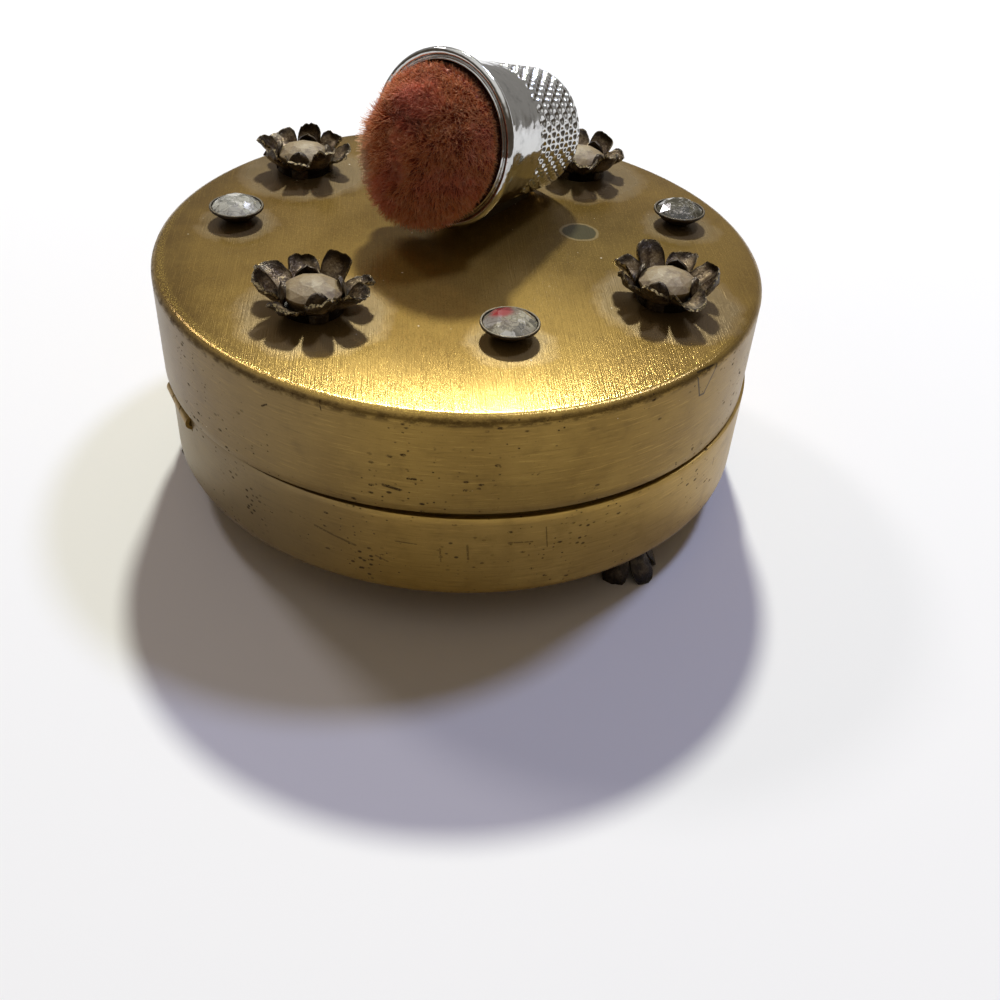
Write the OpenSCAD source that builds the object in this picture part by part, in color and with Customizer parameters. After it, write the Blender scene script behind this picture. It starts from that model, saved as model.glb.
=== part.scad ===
// Round brass pincushion box: a hinged lid set with petal cups and stones, and a velvet-stuffed
// thimble lying on it. Millimetres, +Z up. The origin is on the axis of the base, on the table.
// The hinge is on the -X side, and -Y is the side that faces a viewer of the box.

/* [Box] */
// Outer radius of the base and of the lid
box_r = 32; // [29:0.5:36]
// Thickness of the drawn brass sheet
sheet = 0.6; // [0.4:0.1:0.8]
// Height of the base, from its underside to its rim
base_h = 10; // [8:0.25:14]
// Height of the lid, from its rim to its top
lid_h = 11.3; // [9:0.5:16]
// Radius of the rolled outer corners
corner_r = 1.1; // [0.9:0.1:2]
// Gap between the two rims when the lid is shut
seam_gap = 0.3; // [0.2:0.05:0.6]
// How far the lid sits towards its worn hinge
lid_shift = 0.4; // [0:0.1:0.6]
// Depth of the stretch of the lid's rim that is sprung up at the front
sprung_depth = 0.35; // [0.1:0.05:0.5]
// Half the length of that stretch
sprung_half = 22; // [12:1:25]

/* [Collar] */
// Thickness of the collar's strip
collar_t = 0.5; // [0.3:0.1:0.8]
// Height of the collar above the base's rim
collar_up = 2.5; // [1.5:0.25:4]
// Depth of the collar below the base's rim
collar_down = 5; // [3:0.5:6]
// Least gap between the collar and the lid
collar_clear = 0.25; // [0.2:0.05:0.4]

/* [Hinge] */
// Length of the three knuckles together
hinge_len = 7.2; // [6:0.3:10]
// Outer radius of a knuckle
knuckle_r = 0.8; // [0.7:0.05:0.9]
// Radius of the hinge pin
pin_r = 0.35; // [0.25:0.05:0.4]
// Running gap round the pin
pin_gap = 0.05; // [0.03:0.01:0.08]
// Gap between neighbouring knuckles, and round the barrel in its notch
knuckle_gap = 0.15; // [0.1:0.05:0.25]
// How far the barrel stands proud of the base's wall
barrel_proud = 0.4; // [0.3:0.05:0.6]
// How far the top of the barrel lies below the base's rim
barrel_drop = 0.3; // [0.2:0.05:0.5]
// Height of a leaf against its wall
leaf_h = 4; // [3:0.5:5]
// Thickness of a leaf
leaf_t = 0.5; // [0.4:0.05:0.6]

/* [Feet] */
// Height of the feet
foot_h = 3.95; // [3:0.05:5]
// Radius over the petals of a foot
foot_r = 4.2; // [3.5:0.1:5]
// Distance of the middle of a foot from the outside of the base's wall
foot_inset = 3.8; // [3.4:0.1:8]
// Number of petals on a foot
foot_petals = 6; // [5:1:8]
// How far the sides of a foot's petal are bent down
foot_spoon = 0.5; // [0:0.05:0.7]
// Direction of the first foot
foot_turn = 43; // [0:1:119]

/* [Petal cups] */
// Radius over the petals
flower_r = 6.1; // [5.6:0.1:6.4]
// Height of the petals
flower_h = 2.9; // [2.4:0.1:3.4]
// Radius of the low drum that stands on the lid and holds the stone
drum_r = 3.1; // [2.8:0.05:3.3]
// Height of the drum
drum_h = 0.9; // [0.75:0.05:1.1]
// Number of petals
flower_petals = 8; // [6:2:10]
// Thickness of the stamped sheet
petal_t = 0.28; // [0.24:0.02:0.34]
// How far the petals differ in lift
petal_vary = 0.5; // [0:0.05:0.6]
// How far the sides of a petal are raised, as on a spoon
petal_spoon = 0.9; // [0:0.05:1.1]
// Width of a claw
claw_w = 2; // [1.6:0.1:2.2]
// Height of a claw above the drum
claw_h = 1.2; // [0.9:0.1:1.4]
// Height of the cut stone above its girdle
rose_h = 1.6; // [1:0.1:1.8]

/* [Stones in collets] */
// Radius over the rim of a collet
collet_r = 2.85; // [2.4:0.05:3.2]
// Height of a collet
collet_h = 1.6; // [1.3:0.1:2.2]
// Radius of the floor that stands on the lid
collet_floor_r = 1.2; // [0.9:0.1:1.4]
// Thickness of a collet's wall
collet_t = 0.25; // [0.2:0.05:0.35]
// Gap between a stone and its setting
stone_gap = 0.04; // [0.02:0.01:0.08]
// Height of the crown of a stone
crown_h = 0.9; // [0.5:0.1:1.2]

/* [Ring of ornaments] */
// Mean distance of petal cups and stones from the outside of the lid's wall
ornament_inset = 9; // [8.5:0.25:11]

/* [Thimble] */
// Radius over the bead at the mouth
mouth_r = 8.95; // [8.5:0.05:9.5]
// Radius of the bead
bead_r = 0.45; // [0.3:0.05:0.6]
// Radius of the closed end
tip_r = 6.6; // [6:0.1:7.2]
// Length of the thimble
thimble_len = 18; // [16:0.5:20]
// Thickness of the thimble's wall
thimble_t = 0.5; // [0.4:0.05:0.7]
// Radius of the shoulder round the closed end
shoulder_r = 1.6; // [1.2:0.1:2.4]
// Direction of the closed end, seen from above
thimble_turn = 26.3; // [0:0.1:60]
// Dip of the closed end, which rests on the lid
thimble_dip = 11.6; // [9:0.1:14]
// Place of the middle of the mouth across the lid
mouth_x = -1.2; // [-3:0.1:1]
// Place of the middle of the mouth along the lid
mouth_y = 3.6; // [0:0.1:5]

/* [Pincushion] */
// How far the cushion stands out of the mouth
cushion_out = 6.2; // [4:0.1:7]
// How deep the cushion reaches into the thimble
cushion_in = 7; // [4:0.5:10]
// How far the crown of the cushion sags
cushion_sag = 2.9; // [0:0.1:3.2]
// How far the cushion swells past the mouth
cushion_swell = 0.55; // [0:0.05:0.7]
// Gap between the cushion and the thimble
cushion_gap = 0.12; // [0.1:0.02:0.3]

/* [Hidden] */

// Heights that the pieces share
seam_z = foot_h + base_h;
lid_rim_z = seam_z + seam_gap;
lid_top_z = lid_rim_z + lid_h;
inner_r = box_r - sheet;
rim_inner_r = inner_r - lid_shift - collar_clear;

// The collar steps inwards just below the base's rim
step_h = 1;
step_end = 0.1;

// The hinge's axis runs along Y, let into the top of the base's wall
hinge_x = -(box_r + barrel_proud - knuckle_r);
hinge_z = seam_z - barrel_drop - knuckle_r;
hole_r = pin_r + pin_gap;
mid_len = (hinge_len - 2 * knuckle_gap) / 3;
notch_len = hinge_len + 2 * knuckle_gap;
sprung_turn = -116;

// Each petal cup: its direction, its share of the ring's radius, its spread, and its first petal
CUPS = [["left", -159, 0.896, 1, 80.5], ["front", -53, 0.996, 0.98, 37.1],
    ["right", 28.4, 1.048, 0.94, 20.2], ["back", 111.7, 1.083, 0.9, 60.7]];
// Each collet: its direction and its share of the ring's radius
COLLETS = [["left", 147, 1.052], ["front", -102.4, 0.843], ["right", -9.8, 1.096], ["back", 70.7, 1.07]];
CUP_GRID = [8, 5];
FOOT_GRID = [6, 4];
foot_press = 0.3;
cut = 1;
STONE_SIDES = 8;
drum_taper = 0.15;
claw_lean = 0.45;
table_share = 0.52;
girdle_h = 0.15;

// Thimble: place and derived sizes. Its body is a cone that meets the round shoulder tangentially.
rest_gap = 0.03;
thimble_body_r = mouth_r - 1.7 * bead_r;
thimble_z = lid_top_z + rest_gap + (thimble_len - shoulder_r) * sin(thimble_dip)
    + (tip_r - shoulder_r) * cos(thimble_dip) + shoulder_r;
shoulder_c = [tip_r - shoulder_r, thimble_len - shoulder_r];
shoulder_lean = atan2(thimble_body_r - shoulder_c[0], shoulder_c[1])
    - asin(shoulder_r / norm([thimble_body_r - shoulder_c[0], shoulder_c[1]]));
shoulder_dir = [cos(shoulder_lean), sin(shoulder_lean)];
glue_len = 7;
glue_w = 5;
glue_h = 1.4;
glue_short = 0.6;
glue_mid = shoulder_c[1] * cos(thimble_dip) - glue_short - glue_w / 2 - glue_len / 2;

function turn_cup(name) = [for (c = CUPS) if (c[0] == name) c][0];
function turn_collet(name) = [for (c = COLLETS) if (c[0] == name) c][0];

// Half section of a cup with a rolled corner, standing on its floor
module cup_section(r, h, corner) {
    translate([0, corner]) square([r, h - corner]);
    square([r - corner, corner]);
    translate([r - corner, corner]) circle(corner, $fn = 48);
}

// Cup of sheet metal, open at the top
module drawn_cup(r, h, wall, corner) {
    rotate_extrude($fn = 180) difference() {
        cup_section(r, h, corner);
        translate([0, wall]) cup_section(r - wall, h, corner - wall);
    }
}

// Ring between two radii
module ring(outer, inner, h) {
    difference() {
        cylinder(h, r = outer, $fn = 180);
        translate([0, 0, -cut]) cylinder(h + 2 * cut, r = inner, $fn = 180);
    }
}

// Places a child as the lid lies: off the axis by the play of the hinge
module on_lid(z = 0) {
    translate([-lid_shift, 0, z]) children();
}

// Block on the hinge's side of the box, right through both walls
module hinge_side(len, low, high) {
    translate([-box_r - 2 * knuckle_r, -len / 2, low]) cube([5 * knuckle_r, len, high - low]);
}

module base_shell() color("#8a7440") difference() {
    translate([0, 0, foot_h]) drawn_cup(box_r, base_h, sheet, corner_r);
    hinge_side(notch_len, hinge_z - knuckle_r - knuckle_gap, seam_z + cut);
}

// The collar is a strip sprung into the base, stepped in above the rim, with its ends at the hinge
module base_collar() color("#9a8450") difference() {
    rotate_extrude($fn = 180) polygon([
        [inner_r - collar_t, seam_z - collar_down], [inner_r, seam_z - collar_down],
        [inner_r, seam_z - step_h], [rim_inner_r, seam_z - step_end],
        [rim_inner_r, seam_z + collar_up], [rim_inner_r - collar_t, seam_z + collar_up],
        [rim_inner_r - collar_t, seam_z - step_end], [inner_r - collar_t, seam_z - step_h]]);
    hinge_side(hinge_len + 4 * knuckle_gap, seam_z - collar_down - cut, seam_z + collar_up + cut);
}

module lid_shell() color("#a08238") difference() {
    on_lid(lid_top_z) mirror([0, 0, 1]) drawn_cup(box_r, lid_h, sheet, corner_r);
    // The rim is sprung up along the front in one long shallow arc
    sprung_r = (pow(sprung_half, 2) + pow(sprung_depth, 2)) / (2 * sprung_depth);
    rotate([0, 0, sprung_turn]) translate([box_r / 2, 0, lid_rim_z + sprung_depth - sprung_r])
        rotate([0, 90, 0]) cylinder(box_r, r = sprung_r, $fn = 360);
}

module barrel(from, len, r) {
    translate([hinge_x, from, hinge_z]) rotate([-90, 0, 0]) cylinder(len, r = r, $fn = 48);
}

// The base leaf lies inside the base's wall and carries the two outer knuckles
module hinge_base_leaf() color("#6f5a30") {
    sill_z = hinge_z - knuckle_r - knuckle_gap;
    low_z = sill_z - leaf_h + 1;
    difference() {
        union() {
            intersection() {
                translate([0, 0, low_z]) ring(inner_r, inner_r - leaf_t, hinge_z - low_z);
                union() {
                    hinge_side(hinge_len, low_z, sill_z);
                    for (side = [-1, 1]) translate([0, side * (hinge_len - mid_len) / 2, 0])
                        hinge_side(mid_len, low_z, hinge_z);
                }
            }
            for (side = [-1, 1]) barrel(side * (hinge_len - mid_len) / 2 - mid_len / 2, mid_len, knuckle_r);
        }
        barrel(-hinge_len, 2 * hinge_len, hole_r);
    }
}

// The lid leaf lies inside the lid's wall, and its tongue carries the middle knuckle
module hinge_lid_leaf() color("#6f5a30") {
    difference() {
        union() {
            intersection() {
                on_lid(hinge_z) ring(inner_r, inner_r - leaf_t, lid_rim_z + leaf_h - hinge_z);
                union() {
                    hinge_side(hinge_len, lid_rim_z, lid_rim_z + leaf_h);
                    hinge_side(mid_len, hinge_z, lid_rim_z + leaf_h);
                }
            }
            barrel(-mid_len / 2, mid_len, knuckle_r);
        }
        barrel(-hinge_len, 2 * hinge_len, hole_r);
    }
}

module hinge_pin() color("#4a3d24") barrel(-hinge_len / 2, hinge_len, pin_r);

// Stamped rosette: one sheet with a flat floor, a short drum, and round petals spreading from its
// rim. Each petal is hollowed like a spoon and has a lift and a slant of its own. A grid gives the
// steps across a petal and the rows from floor to tip.
module rosette(petals, grid, drum, reach_r, tip_h, t, spoon, vary, seed) {
    steps = grid[0];
    rows = grid[1];
    n = petals * steps;
    long = reach_r - drum[0];
    rise = tip_h - drum[1];
    function across(i) = sin(90 * (2 * (i % steps) / steps - 1));
    function turn(i) = (floor(i / steps) + 0.5 * across(i)) * 360 / petals;
    function outline(s) = 0.14 + 0.86 * pow(max(0, 1 - pow(abs(s), 2.2)), 0.75);
    function lift(i) = vary * sin(137.5 * floor(i / steps) + seed);
    function slant(i) = 0.8 * vary * sin(97 * floor(i / steps) + 2 * seed);
    function point(i, j, up) =
        let (s = across(i), f = j < 2 ? 0 : outline(s) * (j - 1) / (rows - 1), ff = f * f)
        let (d = [long, rise * (0.7 + 0.6 * f)], bent = [-d[1], d[0]] / norm(d))
        let (away = j == 0 ? [-1, 1] : j == 1 ? [-0.85, 0.5] : bent)
        let (p = j == 0 ? [drum[0] - drum_taper, 0]
            : [drum[0] + long * f, drum[1] + rise * (0.7 * f + 0.3 * ff)])
        let (r = p[0] + up * t * away[0] - 0.6 * lift(i) * ff)
        let (z = p[1] + up * t * away[1] + lift(i) * ff + slant(i) * s * f
            + spoon * s * s * f * (2 - f))
        [r * cos(turn(i)), r * sin(turn(i)), z];
    points = [
        for (up = [0, 1]) for (j = [0:rows]) for (i = [0:n - 1]) point(i, j, up),
        [0, 0, 0], [0, 0, t]
    ];
    function low(i, j) = j * n + i % n;
    function top(i, j) = (rows + 1) * n + j * n + i % n;
    mid = 2 * (rows + 1) * n;
    faces = [
        for (i = [0:n - 1]) for (j = [0:rows - 1]) each [
            [low(i, j), low(i + 1, j + 1), low(i + 1, j)], [low(i, j), low(i, j + 1), low(i + 1, j + 1)],
            [top(i, j), top(i + 1, j), top(i + 1, j + 1)], [top(i, j), top(i + 1, j + 1), top(i, j + 1)]],
        for (i = [0:n - 1]) each [
            [low(i, rows), top(i, rows), top(i + 1, rows)], [low(i, rows), top(i + 1, rows), low(i + 1, rows)],
            [mid, low(i, 0), low(i + 1, 0)], [mid + 1, top(i + 1, 0), top(i, 0)]]
    ];
    polyhedron(points, faces);
}

module at_ornament(place) {
    rotate([0, 0, place[1]]) translate([place[2] * (box_r - ornament_inset), 0, 0]) children();
}

// A claw is a tongue of the drum's wall, round at its end and leaning over the stone
module claw() {
    outer_r = drum_r - drum_taper / 2;
    intersection() {
        rotate_extrude($fn = 48) polygon([
            [outer_r - petal_t, petal_t / 2], [outer_r, petal_t / 2], [outer_r, drum_h],
            [outer_r - claw_lean, drum_h + claw_h], [outer_r - claw_lean - petal_t, drum_h + claw_h],
            [outer_r - petal_t, drum_h]]);
        union() {
            translate([0, 0, drum_h + claw_h - claw_w / 2]) rotate([0, 90, 0])
                cylinder(2 * drum_r, r = claw_w / 2, $fn = 16);
            translate([0, -claw_w / 2, 0]) cube([2 * drum_r, claw_w, drum_h + claw_h - claw_w / 2]);
        }
    }
}

// The cup has a claw on every second petal, four in all
module petal_cup(name) color("#4d4030") {
    place = turn_cup(name);
    on_lid(lid_top_z) at_ornament(place) rotate([0, 0, place[4] - place[1]]) {
        rosette(flower_petals, CUP_GRID, [drum_r, drum_h], flower_r * place[3], flower_h, petal_t,
            petal_spoon, petal_vary, place[1]);
        for (turn = [0:90:270]) rotate([0, 0, turn]) claw();
    }
}

// Faceted stone with its girdle at radius r, its pavilion down to low_r, and a flat table
module stone(r, low_r, pavilion_h) {
    cylinder(pavilion_h, low_r, r, $fn = STONE_SIDES);
    translate([0, 0, pavilion_h]) cylinder(girdle_h, r = r, $fn = STONE_SIDES);
    translate([0, 0, pavilion_h + girdle_h]) cylinder(crown_h, r, table_share * r, $fn = STONE_SIDES);
}

// The stone in a cup is rose cut: two tiers of facets that meet in a low point
module cup_stone(name) color("#b9ac8c") {
    place = turn_cup(name);
    floor_r = drum_r - drum_taper - petal_t - 0.25;
    girdle_r = drum_r - drum_taper - petal_t - 2 * stone_gap;
    girdle_z = drum_h - petal_t;
    on_lid(lid_top_z + petal_t) at_ornament(place) rotate([0, 0, place[4] - place[1]]) {
        cylinder(girdle_z, floor_r, girdle_r, $fn = STONE_SIDES);
        translate([0, 0, girdle_z]) cylinder(girdle_h, r = girdle_r, $fn = STONE_SIDES);
        translate([0, 0, girdle_z + girdle_h])
            cylinder(0.62 * rose_h, girdle_r, 0.6 * girdle_r, $fn = STONE_SIDES);
        translate([0, 0, girdle_z + girdle_h + 0.62 * rose_h])
            cylinder(0.38 * rose_h, 0.6 * girdle_r, 0, $fn = STONE_SIDES);
    }
}

module collet(name) color("#3f352a") {
    slope_r = collet_r - collet_t - collet_floor_r;
    on_lid(lid_top_z) at_ornament(turn_collet(name)) rotate_extrude($fn = 96) polygon([
        [0, 0], [collet_floor_r, 0], [collet_r, 0.85 * collet_h], [collet_r, collet_h],
        [collet_r - collet_t, collet_h], [collet_r - collet_t, 0.85 * collet_h],
        [collet_r - collet_t - slope_r, collet_t], [0, collet_t]]);
}

module collet_stone(name) color("#c9c6b8") {
    seat_r = collet_r - collet_t - stone_gap;
    on_lid(lid_top_z + collet_t) at_ornament(turn_collet(name))
        stone(seat_r, collet_floor_r - stone_gap, 0.85 * collet_h - collet_t + stone_gap);
}

// A foot is a smaller rosette turned over, its petal tips ground flat where they stand
module foot(turn) color("#43382b") {
    rotate([0, 0, foot_turn + turn]) translate([box_r - foot_inset, 0, foot_h]) rotate([180, 0, 0])
        difference() {
            rosette(foot_petals, FOOT_GRID, [0.45 * foot_r, 0.25 * foot_h], foot_r, foot_h + foot_press,
                petal_t, foot_spoon, 0, 0);
            translate([-2 * foot_r, -2 * foot_r, foot_h]) cube([4 * foot_r, 4 * foot_r, foot_h]);
        }
}

// Places a child as the thimble lies: Z runs from its mouth to its closed end, and X points down
module at_thimble() {
    on_lid() translate([mouth_x, mouth_y, thimble_z]) rotate([0, 0, thimble_turn])
        rotate([0, 90 + thimble_dip, 0]) children();
}

// Half section of the thimble's body, less a margin all over
module thimble_section(less) {
    polygon([[0, 0], [thimble_body_r - less, 0], shoulder_c + (shoulder_r - less) * shoulder_dir,
        shoulder_c + [0, shoulder_r - less], [0, thimble_len - less]]);
    translate(shoulder_c) circle(shoulder_r - less, $fn = 48);
}

module thimble() color("#c8c9cc") at_thimble() {
    rotate_extrude($fn = 144) {
        difference() {
            thimble_section(0);
            thimble_section(thimble_t);
            square([thimble_body_r - thimble_t, 1]);
        }
        translate([mouth_r - bead_r, bead_r]) circle(bead_r, $fn = 32);
    }
}

// Hardened glue fills the space under the thimble
module thimble_glue() color("#6b6048") difference() {
    along = [cos(thimble_turn), sin(thimble_turn)];
    on_lid(lid_top_z) translate([mouth_x + glue_mid * along[0], mouth_y + glue_mid * along[1], 0])
        rotate([0, 0, thimble_turn]) {
            translate([-glue_len / 2, -glue_w / 2, 0]) cube([glue_len, glue_w, glue_h]);
            for (end = [-1, 1]) translate([end * glue_len / 2, 0, 0])
                cylinder(glue_h, r = glue_w / 2, $fn = 48);
        }
    shoulder_from = shoulder_c + shoulder_r * shoulder_dir;
    at_thimble() cylinder(shoulder_from[1], thimble_body_r, shoulder_from[0], $fn = 144);
}

// Stuffed velvet: a plug inside the thimble that swells out of its mouth into a sagging crown
module stuffed_velvet() {
    sides = 32;
    plug_rows = 4;
    crown_rows = 10;
    rows = plug_rows + crown_rows;
    plug_r = thimble_body_r - thimble_t - cushion_gap;
    narrowing = (thimble_body_r - tip_r) / thimble_len;
    function along(j) = j <= plug_rows ? cushion_in * (1 - j / plug_rows)
        : -cushion_out * sin(90 * (j - plug_rows) / crown_rows);
    function wide(z) =
        let (u = max(0, -z / cushion_out))
        z > 0 ? plug_r - 1.15 * narrowing * z
            : (plug_r + cushion_swell * sin(min(180, 400 * u))) * pow(max(0, 1 - pow(u, 2.5)), 0.5);
    function lump(a, u) = 1 + 0.025 * u * sin(3 * a + 40) + 0.015 * u * sin(5 * a);
    function drop(z) = cushion_sag * pow(max(0, -z / cushion_out), 1.4);
    points = [
        for (j = [0:rows - 1]) for (i = [0:sides - 1])
            let (a = 360 * i / sides, z = along(j), r = wide(z) * lump(a, max(0, -z / cushion_out)))
            [r * cos(a) + drop(z), r * sin(a), z],
        [0, 0, cushion_in], [cushion_sag, 0, -cushion_out]
    ];
    function at(i, j) = j * sides + i % sides;
    faces = [
        for (i = [0:sides - 1]) for (j = [0:rows - 2]) each [
            [at(i, j), at(i + 1, j), at(i + 1, j + 1)], [at(i, j), at(i + 1, j + 1), at(i, j + 1)]],
        for (i = [0:sides - 1]) each [
            [rows * sides, at(i + 1, 0), at(i, 0)], [rows * sides + 1, at(i, rows - 1), at(i + 1, rows - 1)]]
    ];
    polyhedron(points, faces);
}

module pincushion() color("#8f4f3c") at_thimble() stuffed_velvet();

base_shell();
base_collar();
lid_shell();
hinge_base_leaf();
hinge_lid_leaf();
hinge_pin();
thimble();
thimble_glue();
pincushion();
petal_cup("left");  // petal_cup_left
petal_cup("front");  // petal_cup_front
petal_cup("right");  // petal_cup_right
petal_cup("back");  // petal_cup_back
cup_stone("left");  // cup_stone_left
cup_stone("front");  // cup_stone_front
cup_stone("right");  // cup_stone_right
cup_stone("back");  // cup_stone_back
collet("left");  // collet_left
collet("front");  // collet_front
collet("right");  // collet_right
collet("back");  // collet_back
collet_stone("left");  // collet_stone_left
collet_stone("front");  // collet_stone_front
collet_stone("right");  // collet_stone_right
collet_stone("back");  // collet_stone_back
foot(120);  // foot_left
foot(240);  // foot_front
foot(0);  // foot_back
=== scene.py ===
"""Looks of a round brass pincushion box: petal cups and set stones round its hinged lid, and a
velvet-stuffed thimble lying on it. Every piece is built in metres in the frame of the solid model."""

import math

import bmesh
import bpy
import numpy as np
from bpy.props import FloatProperty, FloatVectorProperty, IntProperty, PointerProperty
from mathutils import Matrix, Vector, noise


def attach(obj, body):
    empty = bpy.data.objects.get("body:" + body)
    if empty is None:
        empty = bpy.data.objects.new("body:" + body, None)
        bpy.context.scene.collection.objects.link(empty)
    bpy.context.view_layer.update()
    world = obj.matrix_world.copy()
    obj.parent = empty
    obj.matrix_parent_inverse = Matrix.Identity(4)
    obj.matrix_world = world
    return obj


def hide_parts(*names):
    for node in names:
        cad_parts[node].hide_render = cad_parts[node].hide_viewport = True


bl_info = {
    "name": "Pincushion box",
    "version": (1, 0, 0),
    "blender": (4, 5, 0),
    "location": "3D View > Sidebar > Pincushion box",
    "description": "Builds the finished look of a brass pincushion box round its solid model",
    "category": "Add Mesh",
}

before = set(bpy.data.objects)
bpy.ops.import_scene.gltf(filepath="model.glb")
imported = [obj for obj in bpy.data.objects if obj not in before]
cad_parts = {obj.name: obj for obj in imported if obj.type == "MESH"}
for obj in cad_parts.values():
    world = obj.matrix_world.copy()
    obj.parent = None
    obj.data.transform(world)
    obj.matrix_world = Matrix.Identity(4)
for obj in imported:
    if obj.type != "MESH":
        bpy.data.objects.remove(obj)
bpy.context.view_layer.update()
MM = 0.001

# Sizes of the solid model, in millimetres
BOX_R = 32.0
SHEET = 0.6
FOOT_H = 3.95
SEAM_Z = 13.95
LID_RIM_Z = 14.25
LID_TOP_Z = 25.55
LID_CROWN = 0.26
CORNER_R = 1.1
LID_SHIFT = 0.4
NOTCH_HALF = 3.75
NOTCH_SILL = 11.9
RING_R = 23.0

CUPS = {"left": (-159, 0.896, 1.0, 80.5), "front": (-53, 0.996, 0.98, 37.1),
        "right": (28.4, 1.048, 0.94, 20.2), "back": (111.7, 1.083, 0.9, 60.7)}
COLLETS = {"left": (147, 1.052), "front": (-102.4, 0.843), "right": (-9.8, 1.096), "back": (70.7, 1.07)}
FEET = {"left": 120, "front": 240, "back": 0}


def tint(red, green, blue):
    """Linear colour of a tint given as 0 to 255."""
    return tuple((v / 255 / 12.92) if v <= 10 else ((v / 255 + 0.055) / 1.055) ** 2.4
                 for v in (red, green, blue))


def turned(points, degrees):
    """Points turned about the Z axis."""
    c, s = math.cos(math.radians(degrees)), math.sin(math.radians(degrees))
    return np.asarray(points) @ np.array([[c, s, 0], [-s, c, 0], [0, 0, 1]])


# Node trees

class Signal:
    """An output of a node tree. The usual operators add Math nodes to the tree."""

    def __init__(self, board, socket):
        self.board = board
        self.socket = socket

    def math(self, operation, *values):
        return self.board.node("ShaderNodeMath", {"operation": operation}, dict(enumerate(values)))

    def __add__(self, other):
        return self.math("ADD", self, other)

    def __sub__(self, other):
        return self.math("SUBTRACT", self, other)

    def __rsub__(self, other):
        return self.math("SUBTRACT", other, self)

    def __mul__(self, other):
        return self.math("MULTIPLY", self, other)

    def __truediv__(self, other):
        return self.math("DIVIDE", self, other)

    def __rtruediv__(self, other):
        return self.math("DIVIDE", other, self)

    def __pow__(self, other):
        return self.math("POWER", self, other)

    def __neg__(self):
        return self.math("MULTIPLY", self, -1.0)

    def __abs__(self):
        return self.math("ABSOLUTE", self)

    def __lt__(self, other):
        return self.math("LESS_THAN", self, other)

    def __gt__(self, other):
        return self.math("GREATER_THAN", self, other)

    __radd__ = __add__
    __rmul__ = __mul__


class Board:
    """A node tree with a short way to add nodes, for materials and for shapes."""

    def __init__(self, tree):
        self.tree = tree

    def node(self, kind, settings=None, values=None, out=0):
        made = self.tree.nodes.new(kind)
        for key, value in (settings or {}).items():
            setattr(made, key, value)
        for key, value in (values or {}).items():
            if isinstance(value, Signal):
                self.tree.links.new(value.socket, made.inputs[key])
            else:
                made.inputs[key].default_value = value
        return Signal(self, made.outputs[out])

    def sin(self, value):
        return value.math("SINE", value)

    def cos(self, value):
        return value.math("COSINE", value)

    def root(self, value):
        return value.math("SQRT", value)

    def least(self, a, b):
        return a.math("MINIMUM", a, b)

    def most(self, a, b):
        return a.math("MAXIMUM", a, b)

    def clip(self, value, low=0.0, high=1.0):
        return self.node("ShaderNodeClamp", None, {"Value": value, "Min": low, "Max": high})

    def step(self, value, low, high):
        """0 below low and 1 above high, with a smooth rise between them; low may be the larger."""
        return self.node("ShaderNodeMapRange", {"interpolation_type": "SMOOTHSTEP"},
                         {"Value": value, "From Min": low, "From Max": high})

    def split(self, vector):
        node = self.tree.nodes.new("ShaderNodeSeparateXYZ")
        self.tree.links.new(vector.socket, node.inputs[0])
        return [Signal(self, s) for s in node.outputs]

    def join(self, x, y, z):
        return self.node("ShaderNodeCombineXYZ", None, {"X": x, "Y": y, "Z": z})

    def vector(self, operation, *values, out=0):
        return self.node("ShaderNodeVectorMath", {"operation": operation}, dict(enumerate(values)), out)

    def far(self, a, b):
        """Distance between two points."""
        return self.vector("DISTANCE", a, b, out="Value")

    def place(self):
        """Object coordinates in millimetres."""
        spot = self.node("ShaderNodeTexCoord", None, None, "Object")
        return self.vector("MULTIPLY", spot, (1000, 1000, 1000))

    def own(self, name):
        """The piece's own attribute of that name."""
        return self.node("ShaderNodeAttribute", {"attribute_name": name}, None, "Fac")

    def grain(self, vector, scale=1.0, detail=2.0, rough=0.5):
        return self.node("ShaderNodeTexNoise", None,
                         {"Vector": vector, "Scale": scale, "Detail": detail, "Roughness": rough}, "Fac")

    def stretch(self, vector, x, y, z):
        return self.vector("MULTIPLY", vector, (x, y, z))

    def mix(self, a, b, factor):
        """Colour a where factor is 0 and colour b where it is 1."""
        values = {6: a if isinstance(a, Signal) else (*a, 1.0), 7: b if isinstance(b, Signal) else (*b, 1.0)}
        return self.node("ShaderNodeMix", {"data_type": "RGBA"}, {0: factor, **values}, 2)

    def blend(self, a, b, factor):
        """Number a where factor is 0 and number b where it is 1."""
        return self.node("ShaderNodeMix", {"data_type": "FLOAT"}, {0: factor, 2: a, 3: b}, 0)

    def spots(self, vector, scale, size, share):
        """Small round spots scattered over a share of the cells of a grid."""
        cell = self.tree.nodes.new("ShaderNodeTexVoronoi")
        self.tree.links.new(vector.socket, cell.inputs["Vector"])
        cell.inputs["Scale"].default_value = scale
        red = self.split(Signal(self, cell.outputs["Color"]))
        return self.step(Signal(self, cell.outputs["Distance"]), size, size * 0.5) * (red[0] < share)

    def stroke(self, spot, start, end, width):
        """A scratch between two points, as 1 on it and 0 beside it."""
        start, end = Vector(start), Vector(end)
        run = end - start
        part = self.vector("DOT_PRODUCT", self.vector("SUBTRACT", spot, tuple(start)), tuple(run), out="Value")
        part = self.clip(part / run.length_squared)
        near = self.vector("MULTIPLY_ADD", self.join(part, part, part), tuple(run), tuple(start))
        return self.step(self.far(spot, near), width, width * 0.4)

    def bump(self, height, strength, depth):
        return self.node("ShaderNodeBump", None, {"Height": height, "Strength": strength, "Distance": depth})


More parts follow.
